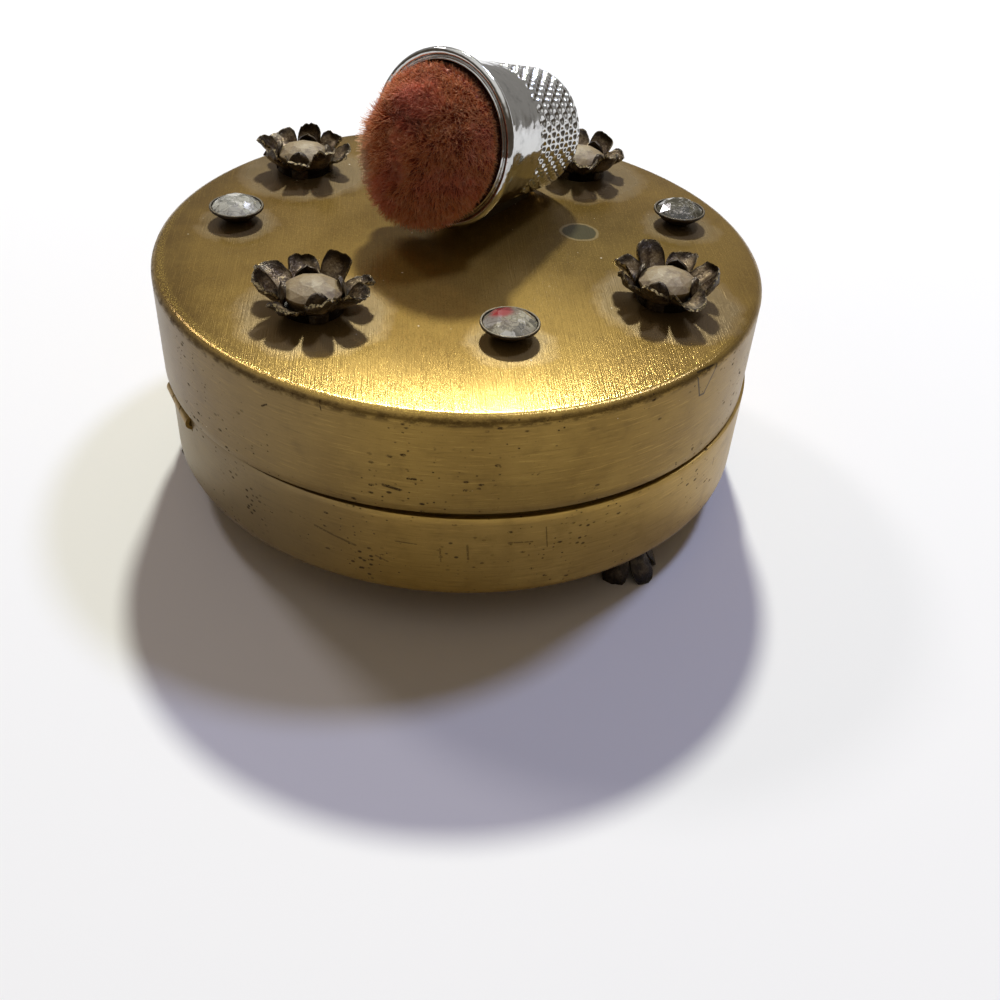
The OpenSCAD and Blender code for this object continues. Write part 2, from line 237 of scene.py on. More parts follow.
def finish_of(name, paint, **even):
    """A material. paint(board) gives what varies, and even holds what is the same all over."""
    made = bpy.data.materials.new(name)
    made.use_nodes = True
    board = Board(made.node_tree)
    shader = made.node_tree.nodes["Principled BSDF"]
    for key, value in even.items():
        shader.inputs[key.replace("_", " ")].default_value = value
    for key, value in paint(board).items():
        made.node_tree.links.new(value.socket, shader.inputs[key])
    return made


# Meshes

def piece_of(name, points, faces, material, body, nodes, smooth=30, facts=None):
    """A finished piece from points in millimetres: doubles merged, faces outwards, riding on a body."""
    mesh = bpy.data.meshes.new(name)
    mesh.from_pydata((np.asarray(points) * MM).tolist(), [], faces)
    for key, values in (facts or {}).items():
        mesh.attributes.new(key, "FLOAT", "POINT").data.foreach_set("value", np.asarray(values, np.float32))
    work = bmesh.new()
    work.from_mesh(mesh)
    bmesh.ops.remove_doubles(work, verts=work.verts, dist=1e-7)
    bmesh.ops.dissolve_degenerate(work, edges=work.edges, dist=1e-8)
    bmesh.ops.recalc_face_normals(work, faces=work.faces)
    work.to_mesh(mesh)
    work.free()
    if smooth:
        mesh.shade_smooth()
        mesh.set_sharp_from_angle(angle=math.radians(smooth))
    mesh.materials.append(material)
    made = bpy.data.objects.new(name, mesh)
    bpy.context.scene.collection.objects.link(made)
    settle(made, body, nodes)
    return made


def settle(piece, body, nodes):
    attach(piece, body)
    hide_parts(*nodes)


def together(parts):
    """Several (points, faces) put into one."""
    points, faces, start = [], [], 0
    for p, f in parts:
        points.append(np.asarray(p))
        faces += [tuple(i + start for i in face) for face in f]
        start += len(p)
    return np.concatenate(points), faces


def lathe(profile, sides):
    """A closed profile of (radius, height) turned round the Z axis."""
    profile = np.asarray(profile)
    turns = np.linspace(0, 2 * math.pi, sides, endpoint=False)
    points = np.stack([np.outer(np.cos(turns), profile[:, 0]), np.outer(np.sin(turns), profile[:, 0]),
                       np.outer(np.ones(sides), profile[:, 1])], -1).reshape(-1, 3)
    rows = len(profile)
    faces = [(i * rows + j, i * rows + (j + 1) % rows, (i + 1) % sides * rows + (j + 1) % rows,
              (i + 1) % sides * rows + j) for i in range(sides) for j in range(rows)]
    return points, faces


def sheet_between(low, top, wrap):
    """A thin closed sheet between two grids of points. A wrapped grid closes on itself and its first
    row is filled to the middle."""
    rows, cols = low.shape[:2]
    points = np.concatenate([low.reshape(-1, 3), top.reshape(-1, 3)])
    size = rows * cols
    spans = cols if wrap else cols - 1
    faces = []
    for i in range(spans):
        k = (i + 1) % cols
        for j in range(rows - 1):
            a, b, c, d = j * cols + i, j * cols + k, (j + 1) * cols + k, (j + 1) * cols + i
            faces += [(a, b, c, d), (size + d, size + c, size + b, size + a)]
        last = (rows - 1) * cols
        faces.append((last + i, last + k, size + last + k, size + last + i))
        if not wrap:
            faces.append((k, i, size + i, size + k))
    if wrap:
        middle = [low[0].mean(0), top[0].mean(0)]
        points = np.concatenate([points, middle])
        for i in range(cols):
            k = (i + 1) % cols
            faces += [(2 * size, k, i), (2 * size + 1, size + i, size + k)]
    else:
        for j in range(rows - 1):
            a, d = j * cols, (j + 1) * cols
            faces += [(a, d, size + d, size + a),
                      (d + cols - 1, a + cols - 1, size + a + cols - 1, size + d + cols - 1)]
    return points, faces


# Brass box

def drawn_shell(height, rim_edge, dent_seed, crown=0.0):
    """A drawn cup with its floor at 0 and its rim at height, as a grid of points. rim_edge(turn) tells
    how far the rim is cut back at a direction, the wall is slightly out of true, and the floor's outer
    part slopes by the crown towards the corner."""
    outer, inner = BOX_R, BOX_R - SHEET
    soft = 0.12
    profile = [(r, 0) for r in (0, 8, 16, 20, 22, 24, 26, 27, 28, 29, 30)]
    profile += [(outer - CORNER_R + CORNER_R * math.sin(a), CORNER_R - CORNER_R * math.cos(a))
                for a in np.radians(np.linspace(0, 90, 13))]
    profile += [(outer, z) for z in np.linspace(CORNER_R + 0.5, height - soft, 12)]
    profile += [(outer - 0.03, height - 0.04), (outer - soft, height), (inner + soft, height),
                (inner + 0.03, height - 0.04)]
    inside = CORNER_R - SHEET
    profile += [(inner, z) for z in np.linspace(height - soft, CORNER_R + 0.5, 8)]
    profile += [(inner - inside + inside * math.sin(a), SHEET + inside - inside * math.cos(a))
                for a in np.radians(np.linspace(90, 0, 7))]
    profile += [(30, SHEET), (24, SHEET), (12, SHEET), (0, SHEET)]
    profile = np.array(profile)
    slope = np.clip((profile[:, 0] - 20) / (BOX_R - CORNER_R - 20), 0, 1) ** 2
    profile[:, 1] += crown * slope * np.clip((CORNER_R - profile[:, 1]) / CORNER_R, 0, 1)
    turns = list(np.radians(np.arange(-180, 180, 1.0)))
    edge = math.asin(NOTCH_HALF / BOX_R)
    marks = [(t, 0) for t in turns if abs(abs(t) - (math.pi - edge)) > 0.004]
    marks += [(side * (math.pi - edge), way) for side in (-1, 1) for way in (-1, 1)]
    marks.sort(key=lambda m: (m[0], m[1] * (1 if m[0] > 0 else -1)))
    points = np.zeros((len(marks), len(profile), 3))
    for i, (turn, way) in enumerate(marks):
        r, z = profile[:, 0].copy(), profile[:, 1].copy()
        at = np.full(len(r), turn)
        if way:
            high = r > 30
            at[high] = math.copysign(math.pi, turn) - np.copysign(np.arcsin(NOTCH_HALF / r[high]), turn)
        cut = rim_edge(turn, way)
        fixed = 0.6 * height
        upper = z > fixed
        z[upper] = fixed + (z[upper] - fixed) * (height - cut - fixed) / (height - fixed)
        wave = noise.noise(Vector((math.cos(turn) * 1.3, math.sin(turn) * 1.3, dent_seed)))
        ripple = noise.noise(Vector((math.cos(turn) * 4, math.sin(turn) * 4, dent_seed + 5)))
        out = (0.05 * wave + 0.02 * ripple) * np.clip((r - 29) / 3, 0, 1)
        points[i] = np.stack([(r + out) * np.cos(at), (r + out) * np.sin(at), z], -1)
    cols, rows = points.shape[:2]
    faces = [(i * rows + j, (i + 1) % cols * rows + j, (i + 1) % cols * rows + j + 1, i * rows + j + 1)
             for i in range(cols) for j in range(rows - 1)]
    return points.reshape(-1, 3), faces


def base_notch(turn, way):
    """The base's rim is cut down at the hinge."""
    inside = abs(turn) > math.pi - math.asin(NOTCH_HALF / BOX_R) + 1e-6 or way > 0
    return SEAM_Z - NOTCH_SILL if inside else 0.0


def lid_spring(turn, _way):
    """The lid's rim is sprung up along the front in one long shallow arc."""
    depth, half, middle = 0.42, 23.0, math.radians(-112)
    radius = (half ** 2 + depth ** 2) / (2 * depth)
    side = BOX_R * math.sin(turn - middle)
    if math.cos(turn - middle) < 0 or abs(side) > half:
        return 0.0
    return max(0.0, depth - radius + math.sqrt(radius ** 2 - side ** 2))


def brass_finish(look, name, lid):
    """Aged brass: the flat top brushed from front to back, the wall brushed round, with a brown
    patina, dark pits, scratches, and on the lid grey haze round the ornaments and a little dust.
    Part of the colour is painted light: the base is painted lighter and the lid's wall and corner
    darker, the lid top is paler towards the front and the wall greyer on its left, each partly as
    painted light, and under the lid's rolled corner lie a dark band of smudges and painted shade and
    painted gold glints."""
    def paint(board):
        spot = board.place()
        if lid:
            spot = board.vector("ADD", spot, (LID_SHIFT, 0, 0))
        x, y, z = board.split(spot)
        reach = board.root(x * x + y * y)
        wall = board.step(reach, BOX_R - 0.6, BOX_R - 0.1)
        turn = math.radians(look.brush_turn)
        along, across = x * math.cos(turn) + y * math.sin(turn), y * math.cos(turn) - x * math.sin(turn)
        top_line = board.grain(board.join(along * 0.2, across * 8, z), 1, 3, 0.65)
        wall_line = board.grain(board.join(x * 0.3, y * 0.3, z * 5), 1, 5, 0.7)
        line = board.blend(top_line, wall_line, wall)
        cloud = board.grain(spot, 0.1, 4, 0.55)
        stain = board.grain(spot, 0.45, 4, 0.6)
        speck = board.grain(spot, 5, 3, 0.7)
        # The base's brass is painted 10 % lighter than the lid's: painted light.
        painted_lift = 1.0 if lid else 1.1
        clean, aged = tuple(v * painted_lift for v in look.brass), tuple(v * painted_lift for v in look.patina)
        colour = board.mix(clean, aged, board.blend(board.step(cloud, 0.38, 0.62), 0.55 if lid else 0.3, wall * 0.7))
        if lid:
            fall = board.clip((reach - 20.0) / (BOX_R - CORNER_R - 20.0), 0.0, 1.0)
            flat = board.step(z + fall * fall * LID_CROWN, 25.26, 25.42)
            within = (1.0 - flat) * (1.0 - wall)
        else:
            within = 1.0 - wall
        if lid:
            # The lid top is paler towards the front: partly worn brass, partly painted light where the lamp's glow
            # falls.
            worn_and_lit = board.step(board.far(board.join(x, y, 0.0), (-10, -20, 0)) + (cloud - 0.5) * 10, 31, 6)
            on_top = board.mix(tuple(v * 0.8 for v in aged), tuple(v * 1.12 for v in clean), worn_and_lit)
            olive = board.step(board.far(board.join(x, y, 0.0), (15, -6, 0)) + (stain - 0.5) * 10, 15, 4)
            on_top = board.mix(on_top, tint(92, 74, 26), olive * 0.6)
            ground = board.grain(spot, 8, 2, 0.6)
            on_top = board.mix(on_top, tuple(v * 0.35 for v in aged), board.step(ground, 0.52, 0.72) * 0.5)
            on_top = board.mix(on_top, tuple(min(1, v * 1.6) for v in clean), board.step(ground, 0.46, 0.26) * 0.4)
            # Darker near the rim, most towards the back.
            far_side = board.step(y * 0.87 - x * 0.4, -18, 12)
            rim_darkening = board.step(reach + (stain - 0.5) * 5, 27.0, 31.0) * (0.25 + far_side * 0.75)
            on_top = board.mix(on_top, tint(62, 44, 22), rim_darkening * 0.55)
            # Off the flat top, the lid's wall and corner are painted 12 % darker: painted shade.
            colour = board.mix(board.mix(colour, (0.0, 0.0, 0.0), 0.12), board.mix(on_top, colour, 0.25),
                               flat * (1.0 - wall))
        colour = board.mix(colour, tuple(v * 0.6 for v in aged), board.step(stain, 0.45, 0.85) * 0.4)
        colour = board.mix(colour, tuple(v * 0.5 for v in aged), board.step(line, 0.52, 0.72) * (0.15 + wall * 0.25))
        colour = board.mix(colour, tuple(min(1, v * 1.3) for v in clean), board.step(line, 0.46, 0.3) * (0.15 + wall * 0.25))
        colour = board.mix(colour, tuple(v * 0.35 for v in aged), board.step(speck, 0.6, 0.75) * 0.35)
        # The wall's left side is painted greyer and less metallic: partly dull tarnish, partly a painted reflection of
        # the pale floor.
        dull = board.step(x, -17, -30) * wall
        colour = board.mix(colour, tint(116, 104, 86), dull * (0.45 if lid else 0.7))
        rough = 0.135 + wall * 0.17 + stain * 0.05 + within * 0.2
        metal = 0.45 + wall * 0.17 - board.step(stain, 0.55, 0.8) * 0.1 - dull * 0.25
        patch = board.step(board.grain(spot, 0.14, 3), 0.44, 0.56)
        pits = board.spots(board.stretch(spot, 0.55, 0.55, 1.0), 1.5, 0.28, 0.22)
        fine = board.spots(board.stretch(spot, 0.8, 0.8, 1.0), 2.6, 0.3, 0.2)
        dark = board.most(pits, fine) * wall * patch * board.step(speck, 0.36, 0.5)
        for start, end, width in LID_SCRATCHES if lid else BASE_SCRATCHES:
            ragged = board.stroke(spot, start, end, width) * board.step(speck, 0.3, 0.48)
            dark = board.most(dark, ragged * (1.0 if lid else 0.65))
        if not lid:
            for at, size in BASE_PITTED:
                crowd = board.spots(board.stretch(spot, 0.7, 0.7, 1.0), 1.9, 0.36, 0.55)
                dark = board.most(dark, crowd * wall * board.step(board.far(spot, at), size, size * 0.4))
        colour = board.mix(colour, tint(44, 30, 16), dark * 0.85)
        metal = metal * (1.0 - dark * 0.85)
        rough = rough + dark * 0.4
        if lid:
            # A dark band just under the lid's rolled corner, strongest at the front: partly brown smudges, partly
            # painted shade where the corner reflects the dark front.
            smudge_and_shade = board.step(z, 24.1, 24.55) * board.step(z, 25.25, 24.9)
            smudge_and_shade = smudge_and_shade * board.step(board.grain(board.stretch(spot, 1, 1, 2), 0.9, 4, 0.75), 0.4, 0.6)
            front = board.step(x * math.cos(math.radians(-140)) + y * math.sin(math.radians(-140)), -10, 24)
            smudge_and_shade = smudge_and_shade * (0.35 + front * 0.65)
            colour = board.mix(colour, tint(56, 38, 18), smudge_and_shade * 0.55)
            rough = rough + smudge_and_shade * 0.25
            # Gold flecks along the top of the rolled corner, strongest at the front: painted highlights.
            painted_glint = board.step(z, 25.0, 25.3) * board.step(reach, 30.3, 31.0)
            painted_glint = painted_glint * board.step(board.grain(spot, 7, 2, 0.7), 0.52, 0.66) * front
            colour = board.mix(colour, tint(250, 214, 110), painted_glint * 0.7)
            haze = edge = None
            rings = [(cup_centre(n), 7.3) for n in CUPS] + [(collet_centre(n), 3.9) for n in COLLETS]
            for at, size in rings:
                away = board.far(board.join(x, y, 0.0), (at[0] + LID_SHIFT - 0.3, at[1] - 0.9, 0))
                away = away + (stain - 0.5) * 3.0
                inside, border = board.step(away, size + 0.7, size - 0.9), board.step(abs(away - size), 0.9, 0.1)
                haze = inside if haze is None else board.most(haze, inside)
                edge = border if edge is None else board.most(edge, border)
            haze = haze * flat
            colour = board.mix(colour, tint(114, 100, 78), haze * 0.6)
            metal = metal - haze * 0.2
            colour = board.mix(colour, tint(168, 148, 122), edge * flat * (1.0 - haze) * 0.16)
            rough = rough + haze * 0.12
            bare = board.far(board.join(x * 1.0, y * 1.0, z), (13.1, -2.5, LID_TOP_Z)) + (stain - 0.5) * 0.8
            colour = board.mix(colour, tint(84, 81, 60), board.step(bare, 1.95, 1.75) * flat * 0.9)
            colour = board.mix(colour, tint(170, 152, 112), board.step(abs(bare - 2.0), 0.25, 0.05) * flat * 0.6)
            for start, end, width in DRIP:
                run = board.stroke(spot, start, end, width)
                colour = board.mix(colour, tint(50, 40, 26), run * 0.8)
            dust = board.spots(spot, 0.42, 0.055, 0.4) * (1.0 - wall)
            dust = board.most(dust, board.spots(spot, 1.1, 0.07, 0.12) * board.step(cloud, 0.5, 0.6))
            colour = board.mix(colour, tint(236, 226, 200), dust * 0.9)
            metal = metal * (1.0 - dust)
        height = line * (1.0 - wall * 0.55) + speck * 0.03 - dark * 0.8
        return {"Base Color": colour, "Roughness": board.clip(rough, 0.05, 1.0), "Metallic": metal,
                "Normal": board.bump(height, look.brush_depth, 0.00008)}
    return finish_of(name, paint, Specular_IOR_Level=0.1)


LID_SCRATCHES = [((-20.96, -24.52, 21.37), (-18.83, -26.15, 21.23), 0.12),
                 ((-23.7, -21.23, 25.0), (-23.82, -21.8, 22.9), 0.08),
                 ((-19.6, -25.3, 17.3), (-18.4, -26.2, 17.0), 0.2), ((-17.8, -26.6, 18.4), (-17.2, -27.0, 18.4), 0.16),
                 ((-27.2, -16.9, 22.6), (-27.5, -16.4, 22.2), 0.12), ((18.6, -26.0, 20.2), (19.0, -25.7, 19.9), 0.18)]
BASE_SCRATCHES = [((-24.86, -20.14, 10.09), (-22.05, -23.18, 9.06), 0.2),
                  ((-15.5, -28.0, 10.2), (-15.4, -28.1, 8.6), 0.13), ((-13.2, -29.1, 10.7), (-13.1, -29.2, 9.0), 0.16),
                  ((-19.04, -25.72, 10.57), (-17.4, -26.9, 10.5), 0.12), ((-9.6, -30.5, 10.9), (-7.4, -31.1, 10.8), 0.14),
                  ((-6.21, -31.39, 12.4), (-5.9, -31.45, 9.9), 0.1), ((-20.5, -24.5, 8.3), (-19.6, -25.3, 7.8), 0.14),
                  ((15.6, -27.9, 11.6), (15.7, -27.85, 10.6), 0.1), ((10.0, -30.4, 12.0), (9.2, -30.6, 11.9), 0.1)]
BASE_PITTED = [((-29.4, -12.4, 8.6), 4.6), ((-21.0, -24.0, 7.2), 3.2), ((-13.5, -29.0, 9.6), 3.4), ((-2.0, -32.0, 10.8), 2.6)]
DRIP = [((9.58, -30.2, 25.0), (12.27, -29.5, 24.9), 0.16), ((9.4, -30.6, 24.9), (10.3, -30.25, 22.3), 0.14),
        ((10.3, -30.25, 22.3), (11.0, -30.0, 22.2), 0.16), ((11.0, -30.0, 22.3), (12.5, -29.4, 24.9), 0.14)]


def cup_centre(name):
    turn, share = math.radians(CUPS[name][0]), CUPS[name][1]
    return (RING_R * share * math.cos(turn) - LID_SHIFT, RING_R * share * math.sin(turn))


def collet_centre(name):
    turn, share = math.radians(COLLETS[name][0]), COLLETS[name][1]
    return (RING_R * share * math.cos(turn) - LID_SHIFT, RING_R * share * math.sin(turn))


def plain_brass(look, name, shade):
    """Dull brass of the hidden pieces, with a fine grain."""
    def paint(board):
        spot = board.place()
        cloud = board.grain(spot, 0.6, 3)
        fine = board.grain(board.stretch(spot, 1, 1, 6), 1.5, 3)
        colour = board.mix(tuple(v * shade for v in look.brass), tuple(v * shade for v in look.patina), cloud)
        return {"Base Color": colour, "Roughness": 0.3 + fine * 0.2,
                "Normal": board.bump(fine, 0.3, 0.00005)}
    return finish_of(name, paint, Metallic=1.0)


# Petal cups and feet

def rosette(petals, steps, rows, drum, reach, tip, t, spoon, vary, seed, crinkle):
    """Low and top grids of a stamped rosette, by the solid model's rule with a finer grid, rounder
    petals, crinkled edges and tips that curl, each petal a little differently."""
    cols = petals * steps
    i = np.arange(cols)
    k = i // steps
    s = np.sin(np.radians(90 * (2 * (i % steps) / steps - 1)))
    turn = np.radians((k + 0.5 * s) * 360 / petals)
    outline = 0.1 + 0.9 * np.maximum(0, 1 - np.abs(s) ** 2.6) ** 0.66
    lift = vary * np.sin(np.radians(137.5 * k + seed))
    slant = 0.8 * vary * np.sin(np.radians(97 * k + 2 * seed))
    cupped = spoon * (1.1 + 0.6 * np.sin(2.1 * k + seed))
    curl = crinkle * (1.6 + 3.0 * np.sin(1.7 * k + 0.3 * seed))
    long, rise = reach - drum[0], tip - drum[1]
    grids, edge = [], []
    for up in (0, 1):
        grid = []
        for j in range(rows + 1):
            out = max(0, j - 1) / (rows - 1)
            if j == 0:
                f, p, away = np.zeros(cols), (drum[0] - 0.15, 0.0), (-1.0, 1.0)
            elif j == 1:
                f, p, away = np.zeros(cols), drum, (-0.85, 0.5)
            else:
                f = outline * out
                d = np.array([np.full(cols, long), rise * (0.7 + 0.6 * f)])
                d /= np.hypot(*d)
                p = (drum[0] + long * f, drum[1] + rise * (0.7 * f + 0.3 * f * f))
                away = (-d[1], d[0])
            ff = f * f
            bend = np.maximum(0, (f - 0.6) / 0.4) ** 2
            r = p[0] + up * t * away[0] - 0.6 * lift * ff - curl * bend
            z = p[1] + up * t * away[1] + lift * ff + slant * s * f + cupped * s * s * f * (2 - f) + 0.2 * curl * bend
            soft = np.array([noise.noise(Vector((a * 2.2 + 7 * b, c * 2.2, seed * 0.37 + 3 * b)))
                             for a, b, c in zip(s, k, f)])
            sharp = np.array([0.5 - abs(noise.noise(Vector((a * 5 + 3 * b, c * 4.5, seed * 0.9)))) * 2
                              for a, b, c in zip(s, k, f)])
            rough = soft * np.minimum(1, 1.4 * f) + 0.9 * sharp * out ** 3 * np.minimum(1, 2 * f)
            z = z + crinkle * 1.3 * rough
            r = r - crinkle * 0.8 * rough * np.minimum(1, 2 * f)
            turned_by = turn + 0.03 * soft * f * (np.abs(s) < 0.985)
            grid.append(np.stack([r * np.cos(turned_by), r * np.sin(turned_by), z], -1))
            edge.append(np.full(cols, out))
        grids.append(np.array(grid))
    return grids[0], grids[1], np.concatenate(edge)


def claw(radius, drum_h, t, width, height, lean):
    """A tongue that rises from the drum's wall and bends in over the stone, round at its end."""
    low, top = [], []
    for share in np.linspace(0, 1, 17):
        zz = 0.14 + (drum_h + height - 0.14) * share
        past = max(0.0, zz - drum_h) / height
        r = radius - 0.12 * past - lean * past ** 3
        near_end = max(0.0, (zz - (drum_h + height - width / 2)) / (width / 2))
        half = width / 2 * math.sqrt(max(0.03, 1 - near_end ** 2)) * (0.72 + 0.28 * min(1, past * 2))
        side = np.linspace(-1, 1, 13)
        for grid, rr in ((low, r - t), (top, r)):
            bulge = 0.1 * (1 - side ** 2)
            ragged = np.array([noise.noise(Vector((a * 2, share * 5, width))) for a in side]) * 0.12 * past
            spin = side * half / radius
            grid.append(np.stack([(rr + bulge + ragged) * np.cos(spin), (rr + bulge + ragged) * np.sin(spin),
                                  zz + ragged], -1))
    return sheet_between(np.array(low), np.array(top), False)


def petal_finish(look, name, shade):
    """Darkened stamped brass, mottled brown, near black at the drum and on the claws as painted shade,
    and rubbed to dull gold along the petals' edges, partly as painted glints."""
    def paint(board):
        spot = board.place()
        edge = board.own("edge")
        blot = board.grain(spot, 1.1, 4, 0.65)
        fine = board.grain(spot, 4, 3, 0.7)
        colour = board.mix(tuple(look.petal_dark), tuple(look.petal_light), board.step(blot, 0.42, 0.6))
        colour = board.mix(colour, tint(172, 156, 120), board.step(fine, 0.52, 0.7) * board.step(blot, 0.42, 0.6) * 0.6)
        colour = board.mix(colour, tint(34, 22, 12), board.step(fine, 0.44, 0.28) * 0.7)
        colour = board.mix(colour, tint(30, 20, 12), board.step(edge, 0.62, 0.9) * 0.75)
        # Near black low on the drum and on the claws: painted shade.
        colour = board.mix(colour, tint(14, 10, 8), board.step(edge, 0.34, 0.1) * 0.95)
        # Pale gold along the petals' outer edges: partly rubbed brass, partly painted glints.
        rub = board.step(edge, 0.94, 1.0) * board.step(fine, 0.54, 0.42)
        colour = board.mix(colour, tint(214, 194, 146), rub * 0.75)
        # A shade below 1 paints the whole piece darker; the feet get it as painted shade.
        colour = board.mix(colour, (0.0, 0.0, 0.0), 1.0 - shade) if shade < 1 else colour
        return {"Base Color": colour, "Roughness": 0.2 + blot * 0.22, "Metallic": 0.55 + rub * 0.45,
                "Normal": board.bump(fine + blot, 0.6, 0.00018)}
    return finish_of(name, paint)


# Stones

def cut_stone(tiers):
    """A faceted stone from tiers of (count, radius, height, half turned); a count of 1 is a point."""
    points, faces, before = [], [], None
    for count, radius, height, offset in tiers:
        start = len(points)
        if count == 1:
            points.append((0, 0, height))
        else:
            for i in range(count):
                a = 2 * math.pi * (i + 0.5 * offset) / count
                points.append((radius * math.cos(a), radius * math.sin(a), height))
        here = (start, count, offset)
        if before is None:
            if count > 1:
                faces.append(tuple(range(start + count - 1, start - 1, -1)))
        else:
            faces += tier_faces(before, here)
        before = here
    start, count, _ = before
    if count > 1:
        faces.append(tuple(range(start, start + count)))
    return np.array(points, float), faces


def tier_faces(low, high):
    """Facets between two tiers, which may differ in count by a factor of two."""
    (a, n, off_a), (b, m, off_b) = low, high
    if n == 1:
        return [(a, b + (i + 1) % m, b + i) for i in range(m)]
    if m == 1:
        return [(a + i, a + (i + 1) % n, b) for i in range(n)]
    faces = []
    if n == m and off_a == off_b:
        return [(a + i, a + (i + 1) % n, b + (i + 1) % m, b + i) for i in range(n)]
    if n == m:
        for i in range(n):
            other = b + i if off_b else b + (i + 1) % m
            faces.append((a + i, a + (i + 1) % n, other))
            nxt = b + (i + 1) % m if off_b else b + (i + 2) % m
            faces.append((a + (i + 1) % n, nxt, other))
        return faces
    if n == 2 * m:
        for i in range(m):
            faces += [(a + 2 * i, a + 2 * i + 1, b + i),
                      (a + 2 * i + 1, a + (2 * i + 2) % n, b + (i + 1) % m),
                      (a + 2 * i + 1, b + (i + 1) % m, b + i)]
        return faces
    for i in range(n):
        faces += [(a + i, b + (2 * i + 1) % m, b + 2 * i), (a + i, a + (i + 1) % n, b + (2 * i + 1) % m),
                  (a + (i + 1) % n, b + (2 * i + 2) % m, b + (2 * i + 1) % m)]
    return faces


def clouded_glass(look):
    """Clouded glass of the stones in the petal cups, pale and foggy over an old foil."""
    def paint(board):
        spot = board.place()
        fog = board.grain(spot, 0.9, 3, 0.6)
        fine = board.grain(spot, 4, 3, 0.6)
        colour = board.mix(tuple(look.cup_stone), tint(104, 84, 58), board.step(fog, 0.42, 0.7))
        colour = board.mix(colour, tint(168, 156, 120), board.step(fine, 0.52, 0.7) * 0.5)
        return {"Base Color": colour, "Roughness": 0.42 + fog * 0.35,
                "Normal": board.bump(fine, 0.3, 0.0001)}
    return finish_of("clouded_glass", paint, IOR=1.5, Coat_Weight=0.12, Coat_Roughness=0.15)


def foiled_glass(look, name, base, patch):
    """Cut glass over foil: bright and dark facets painted as reflections, painted white glints, and one patch of
    another colour.
    """
    def paint(board):
        spot = board.place()
        wave = board.grain(spot, 0.8, 3, 0.6) - 0.5
        torn = board.vector("ADD", spot, board.join(wave * 2.6, wave * -2.0, wave * 1.2))
        cell = board.node("ShaderNodeTexVoronoi", None, {"Vector": torn, "Scale": 0.75}, "Color")
        shade = board.split(cell)
        # Bright and dark cells stand for the facets' reflections: painted reflection.
        colour = board.mix(tuple(v * 0.35 for v in base), tuple(base), board.step(shade[0], 0.1, 0.6))
        # White glints in some cells: painted highlights.
        colour = board.mix(colour, tint(226, 224, 214), board.step(shade[1], 0.78, 0.9) * 0.8)
        flake = board.step(board.grain(torn, 3.2, 4, 0.75), 0.52, 0.62) * board.step(board.grain(spot, 0.55, 2), 0.42, 0.56)
        colour = board.mix(colour, tint(236, 230, 220), flake * 0.75)
        crack = board.node("ShaderNodeTexVoronoi", {"feature": "DISTANCE_TO_EDGE"}, {"Vector": torn, "Scale": 0.9})
        colour = board.mix(colour, tint(30, 25, 20), board.step(crack, 0.07, 0.01) * 0.45)
        if patch:
            at, size, hue = patch
            near = board.step(board.far(spot, at), size, size * 0.5)
            brown = board.step(board.far(spot, at), size * 2.1, size)
            colour = board.mix(colour, tint(92, 64, 50), brown * board.step(shade[1], 0.1, 0.4) * 0.6)
            colour = board.mix(colour, hue, near * (0.55 + board.step(shade[2], 0.2, 0.5) * 0.45))
        return {"Base Color": colour, "Roughness": 0.05 + shade[2] * 0.1,
                "Metallic": board.step(shade[0], 0.5, 0.9) * 0.6}
    return finish_of(name, paint, IOR=1.55, Coat_Weight=0.5, Coat_Roughness=0.03)


def collet_finish():
    """Tarnished dark metal, rubbed pale along the rim."""
    def paint(board):
        spot = board.place()
        z = board.split(spot)[2]
        blot = board.grain(spot, 2.2, 3, 0.6)
        colour = board.mix(tint(36, 29, 24), tint(74, 62, 46), board.step(blot, 0.4, 0.65))
        rub = board.step(z, LID_TOP_Z + 1.45, LID_TOP_Z + 1.6) * board.step(blot, 0.65, 0.4)
        colour = board.mix(colour, tint(150, 140, 116), rub * 0.12)
        return {"Base Color": colour, "Roughness": 0.3 + blot * 0.3,
                "Normal": board.bump(blot, 0.3, 0.00008)}
    return finish_of("tarnished_metal", paint, Metallic=0.7)


# Thimble

MOUTH_R = 8.95
BEAD_R = 0.45
BODY_R = MOUTH_R - 1.7 * BEAD_R
WALL_T = 0.5
THIMBLE_LEN = 18.0
TIP_R = 6.6
SHOULDER_R = 1.6
SHOULDER_C = (TIP_R - SHOULDER_R, THIMBLE_LEN - SHOULDER_R)
THIMBLE_TURN = 26.3
THIMBLE_DIP = 11.6
THIMBLE_Z = (LID_TOP_Z + 0.03 + SHOULDER_C[1] * math.sin(math.radians(THIMBLE_DIP))
             + SHOULDER_C[0] * math.cos(math.radians(THIMBLE_DIP)) + SHOULDER_R)
LEAN = (math.atan2(BODY_R - SHOULDER_C[0], SHOULDER_C[1])
        - math.asin(SHOULDER_R / math.hypot(BODY_R - SHOULDER_C[0], SHOULDER_C[1])))
AT_THIMBLE = (Matrix.Translation((-1.2 - LID_SHIFT, 3.6, THIMBLE_Z))
              @ Matrix.Rotation(math.radians(THIMBLE_TURN), 4, "Z")
              @ Matrix.Rotation(math.radians(90 + THIMBLE_DIP), 4, "Y"))
KNURL_FROM = 8.1


def from_thimble(points):
    """Points of the thimble's own frame, in which Z runs from mouth to closed end and X points down."""
    m = np.array(AT_THIMBLE)
    return np.asarray(points) @ m[:3, :3].T + m[:3, 3]


def section_at(less, reach):
    """A point on the thimble's section, less a margin, at the arc's end or a share of it."""
    r = SHOULDER_R - less
    return (SHOULDER_C[0] + r * math.cos(LEAN + reach), SHOULDER_C[1] + r * math.sin(LEAN + reach))


